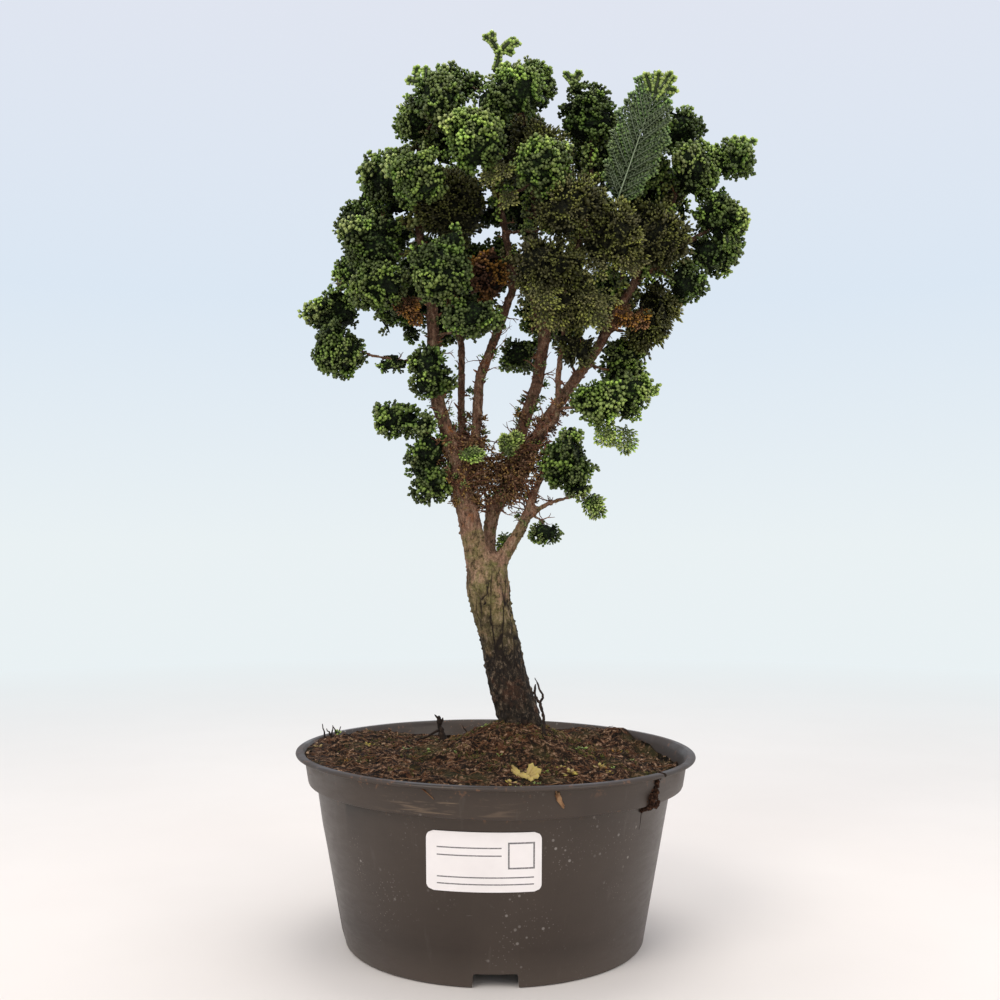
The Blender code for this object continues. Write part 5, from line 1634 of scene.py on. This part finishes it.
def makeBits():
    for tone in ("foliage_bright", "shed", "foliage_dry"):
        draw = random.Random(len(tone) * 3)
        bm = bmesh.new()
        layers = sprayLayers(bm)
        for x, y, count, size in bits[tone]:
            for k in range(count):
                turn = draw.uniform(0, 2 * math.pi)
                place = Vector((x + 0.6 * size * math.cos(turn) * draw.random(),
                                y + 0.6 * size * math.sin(turn) * draw.random(), 0.0))
                place.z = soilLevel(place.x, place.y) + soilRelief(place.x, place.y) + 0.5
                way = Vector((math.cos(turn), math.sin(turn), draw.uniform(0.0, 0.9))).normalized()
                first = len(bm.verts)
                addBud(bm, layers[0], place * mm, way, Vector((0, 0, 1)), 1.7 * size * mm, 1.0 * size * mm, 0.35)
                markNew(bm, layers, first, draw.random(), draw.uniform(0.6, 1.0), 0.0)
        bmesh.ops.recalc_face_normals(bm, faces=bm.faces)
        name = {"foliage_bright": "greenBits", "shed": "yellowBits", "foliage_dry": "russetBits"}[tone]
        mesh = meshOf(name, bm)
        mesh.shade_smooth()
        material = bpy.data.materials["shedLeaf"] if tone == "shed" else leafMaterials[tone]
        dress(newPiece(name, mesh, material), "shed_leaf" if tone == "shed" else tone)


def makeStrayBits():
    draw = random.Random(52)
    bm = bmesh.new()
    for foot, tip in bits["sticks"]:
        foot, tip = Vector(foot) * mm, Vector(tip) * mm
        line = [foot.lerp(tip, k / 4) + Vector([draw.uniform(-0.35, 0.35) for a in range(3)]) * mm * (k > 0)
                for k in range(5)]
        addTube(bm, [(point, (0.62 - 0.1 * k) * mm) for k, point in enumerate(line)], 6)
    mesh = meshOf("standingTwigs", bm)
    mesh.shade_smooth()
    dress(newPiece("standingTwigs", mesh, deadWood), "dead_wood")
    bm = bmesh.new()
    for first, middle, last, thick in bits["onBand"]:
        for shift in range(3 if thick > 0.5 else 1):
            line = []
            for k, spot in enumerate((first, middle, last)):
                place = Vector(spot) + Vector([draw.uniform(-0.7, 0.7) for a in range(3)]) * (thick > 0.5)
                wall = 89.1 + (place.z - 74.4) * 0.167 + thick * 0.5
                flat = Vector((place.x, place.y, 0.0)).normalized() * wall
                line.append((Vector((flat.x, flat.y, place.z + rimLift(place.x))) * mm,
                             thick * (1.0, 1.15, 0.5)[k] * mm))
            addTube(bm, line, 6)
    mesh = meshOf("bitsOnBand", bm)
    mesh.shade_smooth()
    dress(newPiece("bitsOnBand", mesh, bpy.data.materials["peatFibres"]), "soil")


print("dead stub")


stub = {
    # points in mm with the radius there: the shoot, its prongs and the root that arches away
    "lines": (((-25.6, 33.5, 84.0, 2.3), (-26.0, 33.8, 87.0, 2.1), (-26.9, 34.2, 89.4, 1.45), (-27.8, 34.4, 91.6, 1.6),
               (-28.5, 34.6, 93.8, 1.15), (-28.7, 34.6, 96.0, 1.45), (-28.9, 34.6, 98.0, 1.1), (-29.0, 34.6, 99.6, 0.6)),
              ((-28.8, 34.6, 97.4, 0.9), (-30.2, 34.2, 99.0, 0.55), (-31.2, 34.0, 100.2, 0.25)),
              ((-28.7, 34.6, 96.4, 0.9), (-27.4, 34.4, 97.4, 0.7), (-27.0, 34.4, 98.6, 0.3)),
              ((-28.4, 34.0, 92.6, 0.75), (-30.8, 33.4, 91.6, 0.65), (-33.6, 33.0, 89.8, 0.55),
               (-36.8, 32.8, 88.6, 0.45), (-40.0, 32.6, 87.6, 0.3)),
              ((-26.0, 33.6, 88.4, 0.7), (-24.6, 33.0, 86.6, 0.6), (-23.6, 32.6, 85.0, 0.5))),
    # the wiry double shoot beside the trunk's foot
    "wire": (((19.5, -13.0, 93.5, 0.5), (21.6, -12.6, 95.5, 0.7), (22.7, -12.2, 98.5, 0.75), (22.8, -11.6, 102.5, 0.7),
              (22.3, -11.0, 106.7, 0.7), (21.2, -10.2, 110.6, 0.75), (20.8, -10.0, 112.2, 0.7)),
             ((20.8, -10.0, 112.0, 0.65), (19.0, -9.4, 114.2, 0.6), (18.5, -9.2, 117.6, 0.55), (18.9, -9.2, 120.6, 0.4)),
             ((20.8, -10.0, 112.0, 0.65), (22.2, -9.8, 114.2, 0.6), (22.1, -9.6, 115.8, 0.55),
              (20.9, -9.4, 118.0, 0.5), (19.9, -9.2, 121.0, 0.35), (18.6, -9.2, 123.6, 0.2)),
             ((22.8, -12.2, 98.5, 0.6), (24.6, -12.6, 96.0, 0.6), (27.5, -13.0, 93.4, 0.55), (31.0, -13.4, 91.0, 0.4))),
}


def knottyTube(bm, line, sides):
    points = [Vector(spot[:3]) for spot in line]
    dense = []
    for (a, ra), (b, rb) in zip(zip(points, [s[3] for s in line]), zip(points[1:], [s[3] for s in line[1:]])):
        steps = max(int((b - a).length / 0.7), 1)
        for k in range(steps):
            share = k / steps
            place = a.lerp(b, share)
            knot = noise.noise(place * 0.9)
            wander = Vector((noise.noise(place * 0.6 + Vector((9, 0, 0))), 0.0, 0.0)) * 0.5
            dense.append(((place + wander) * mm, (ra + (rb - ra) * share) * (1.0 + 0.35 * knot) * mm))
    dense.append((points[-1] * mm, line[-1][3] * 0.6 * mm))
    addTube(bm, dense, sides)


def makeStub():
    for name, lines, sides in (("deadStub", stub["lines"], 12), ("wiryShoot", stub["wire"], 8)):
        bm = bmesh.new()
        for line in lines:
            knottyTube(bm, line, sides)
        for vert in bm.verts:
            spot = vert.co / mm
            vert.co += Vector((noise.noise(spot * 1.3), noise.noise(spot * 1.3 + Vector((7, 0, 0))), 0.0)) * 0.22 * mm
        bmesh.ops.recalc_face_normals(bm, faces=bm.faces)
        mesh = meshOf(name, bm)
        mesh.shade_smooth()
        piece = newPiece(name, mesh, deadWood)
        if name == "deadStub":
            dress(piece, "dead_wood", "dead_stub")
        else:
            dress(piece, "bark")


def deadWoodMaterial():
    material, tree, shader = newMaterial("deadWood", 0.9, 0.2)
    tone = noiseValue(tree, objectPoint(tree, (1, 1, 0.3)), 600.0, 5.0, 0.7)
    tree.links.new(ramp(tree, tone, ((0.3, (0.008, 0.006, 0.005)), (0.55, (0.032, 0.020, 0.014)),
                                     (0.75, (0.11, 0.070, 0.045)))), shader.inputs["Base Color"])
    bump(tree, shader, tone, 0.5 * mm)
    return material


deadWood = deadWoodMaterial()
makeBits()
makeStrayBits()
makeStub()


print("studio")
studio = {
    "floorRadius": 6.0,
    "floorColour": (0.80, 0.73, 0.66),
    "horizon": (0.82, 0.88, 0.90),
    "middle": (0.71, 0.80, 0.90),
    "zenith": (0.75, 0.78, 0.87),
}


def makeStudio():
    world = bpy.data.worlds.new("studioSky")
    bpy.context.scene.world = world
    world.use_nodes = True
    tree = world.node_tree
    direction = addNode(tree, "ShaderNodeTexCoord").outputs["Generated"]
    height = addNode(tree, "ShaderNodeSeparateXYZ", {"Vector": direction}).outputs["Z"]
    sky = ramp(tree, height, ((0.0, studio["horizon"]), (0.2, studio["middle"]),
                              (0.45, studio["zenith"])))
    tree.links.new(sky, tree.nodes["Background"].inputs["Color"])
    bpy.context.scene.view_settings.view_transform = "Standard"

    floor = newPiece("studioFloor", lathe("studioFloor", ((0.0, 0.0), (400.0, 0.0), (1500.0, 0.0),
                                                          (studio["floorRadius"] / mm, 0.0)), 64))
    material, tree, shader = newMaterial("paleFloor", 0.75, 0.2)
    mottling = noiseValue(tree, objectPoint(tree), 6.0, 3.0)
    tree.links.new(ramp(tree, mottling, ((0.3, studio["floorColour"]), (0.7, (0.83, 0.76, 0.69)))),
                   shader.inputs["Base Color"])
    glow = addNode(tree, "ShaderNodeEmission", {"Color": (*studio["horizon"], 1.0)})
    point = addNode(tree, "ShaderNodeTexCoord").outputs["Object"]
    away = addNode(tree, "ShaderNodeVectorMath", {0: point}, operation="LENGTH").outputs["Value"]
    mixing = addNode(tree, "ShaderNodeMixShader", {0: rangeOf(tree, away, 0.25, 1.4)})
    tree.links.new(shader.outputs[0], mixing.inputs[1])
    tree.links.new(glow.outputs[0], mixing.inputs[2])
    tree.links.new(mixing.outputs[0], tree.nodes["Material Output"].inputs["Surface"])
    floor.data.materials.append(material)

    lamps = (("keyLamp", (-0.75, -1.1, 1.15), 0.9, 11.0, (1.0, 0.98, 0.95)),
             ("fillLamp", (1.1, -0.9, 0.7), 1.0, 5.0, (1.0, 0.97, 0.94)),
             ("topLamp", (0.1, 0.3, 1.5), 0.9, 7.0, (1.0, 1.0, 1.0)))
    for name, place, size, power, colour in lamps:
        light = bpy.data.lights.new(name, "AREA")
        light.shape = "DISK"
        light.size, light.energy, light.color = size, power, colour
        lamp = bpy.data.objects.new(name, light)
        lamp.location = place
        lamp.rotation_euler = (Vector((0, 0, 0.22)) - Vector(place)).to_track_quat("-Z", "Y").to_euler()
        bpy.context.scene.collection.objects.link(lamp)

    lens = bpy.data.cameras.new("photoCamera")
    lens.lens, lens.sensor_width = photoCamera["lens"], photoCamera["sensor"]
    camera = bpy.data.objects.new("photoCamera", lens)
    camera.location = photoCamera["place"]
    camera.rotation_euler = (math.pi / 2 + photoCamera["pitch"], 0, photoCamera["yaw"])
    bpy.context.scene.collection.objects.link(camera)
    bpy.context.scene.camera = camera


makeStudio()
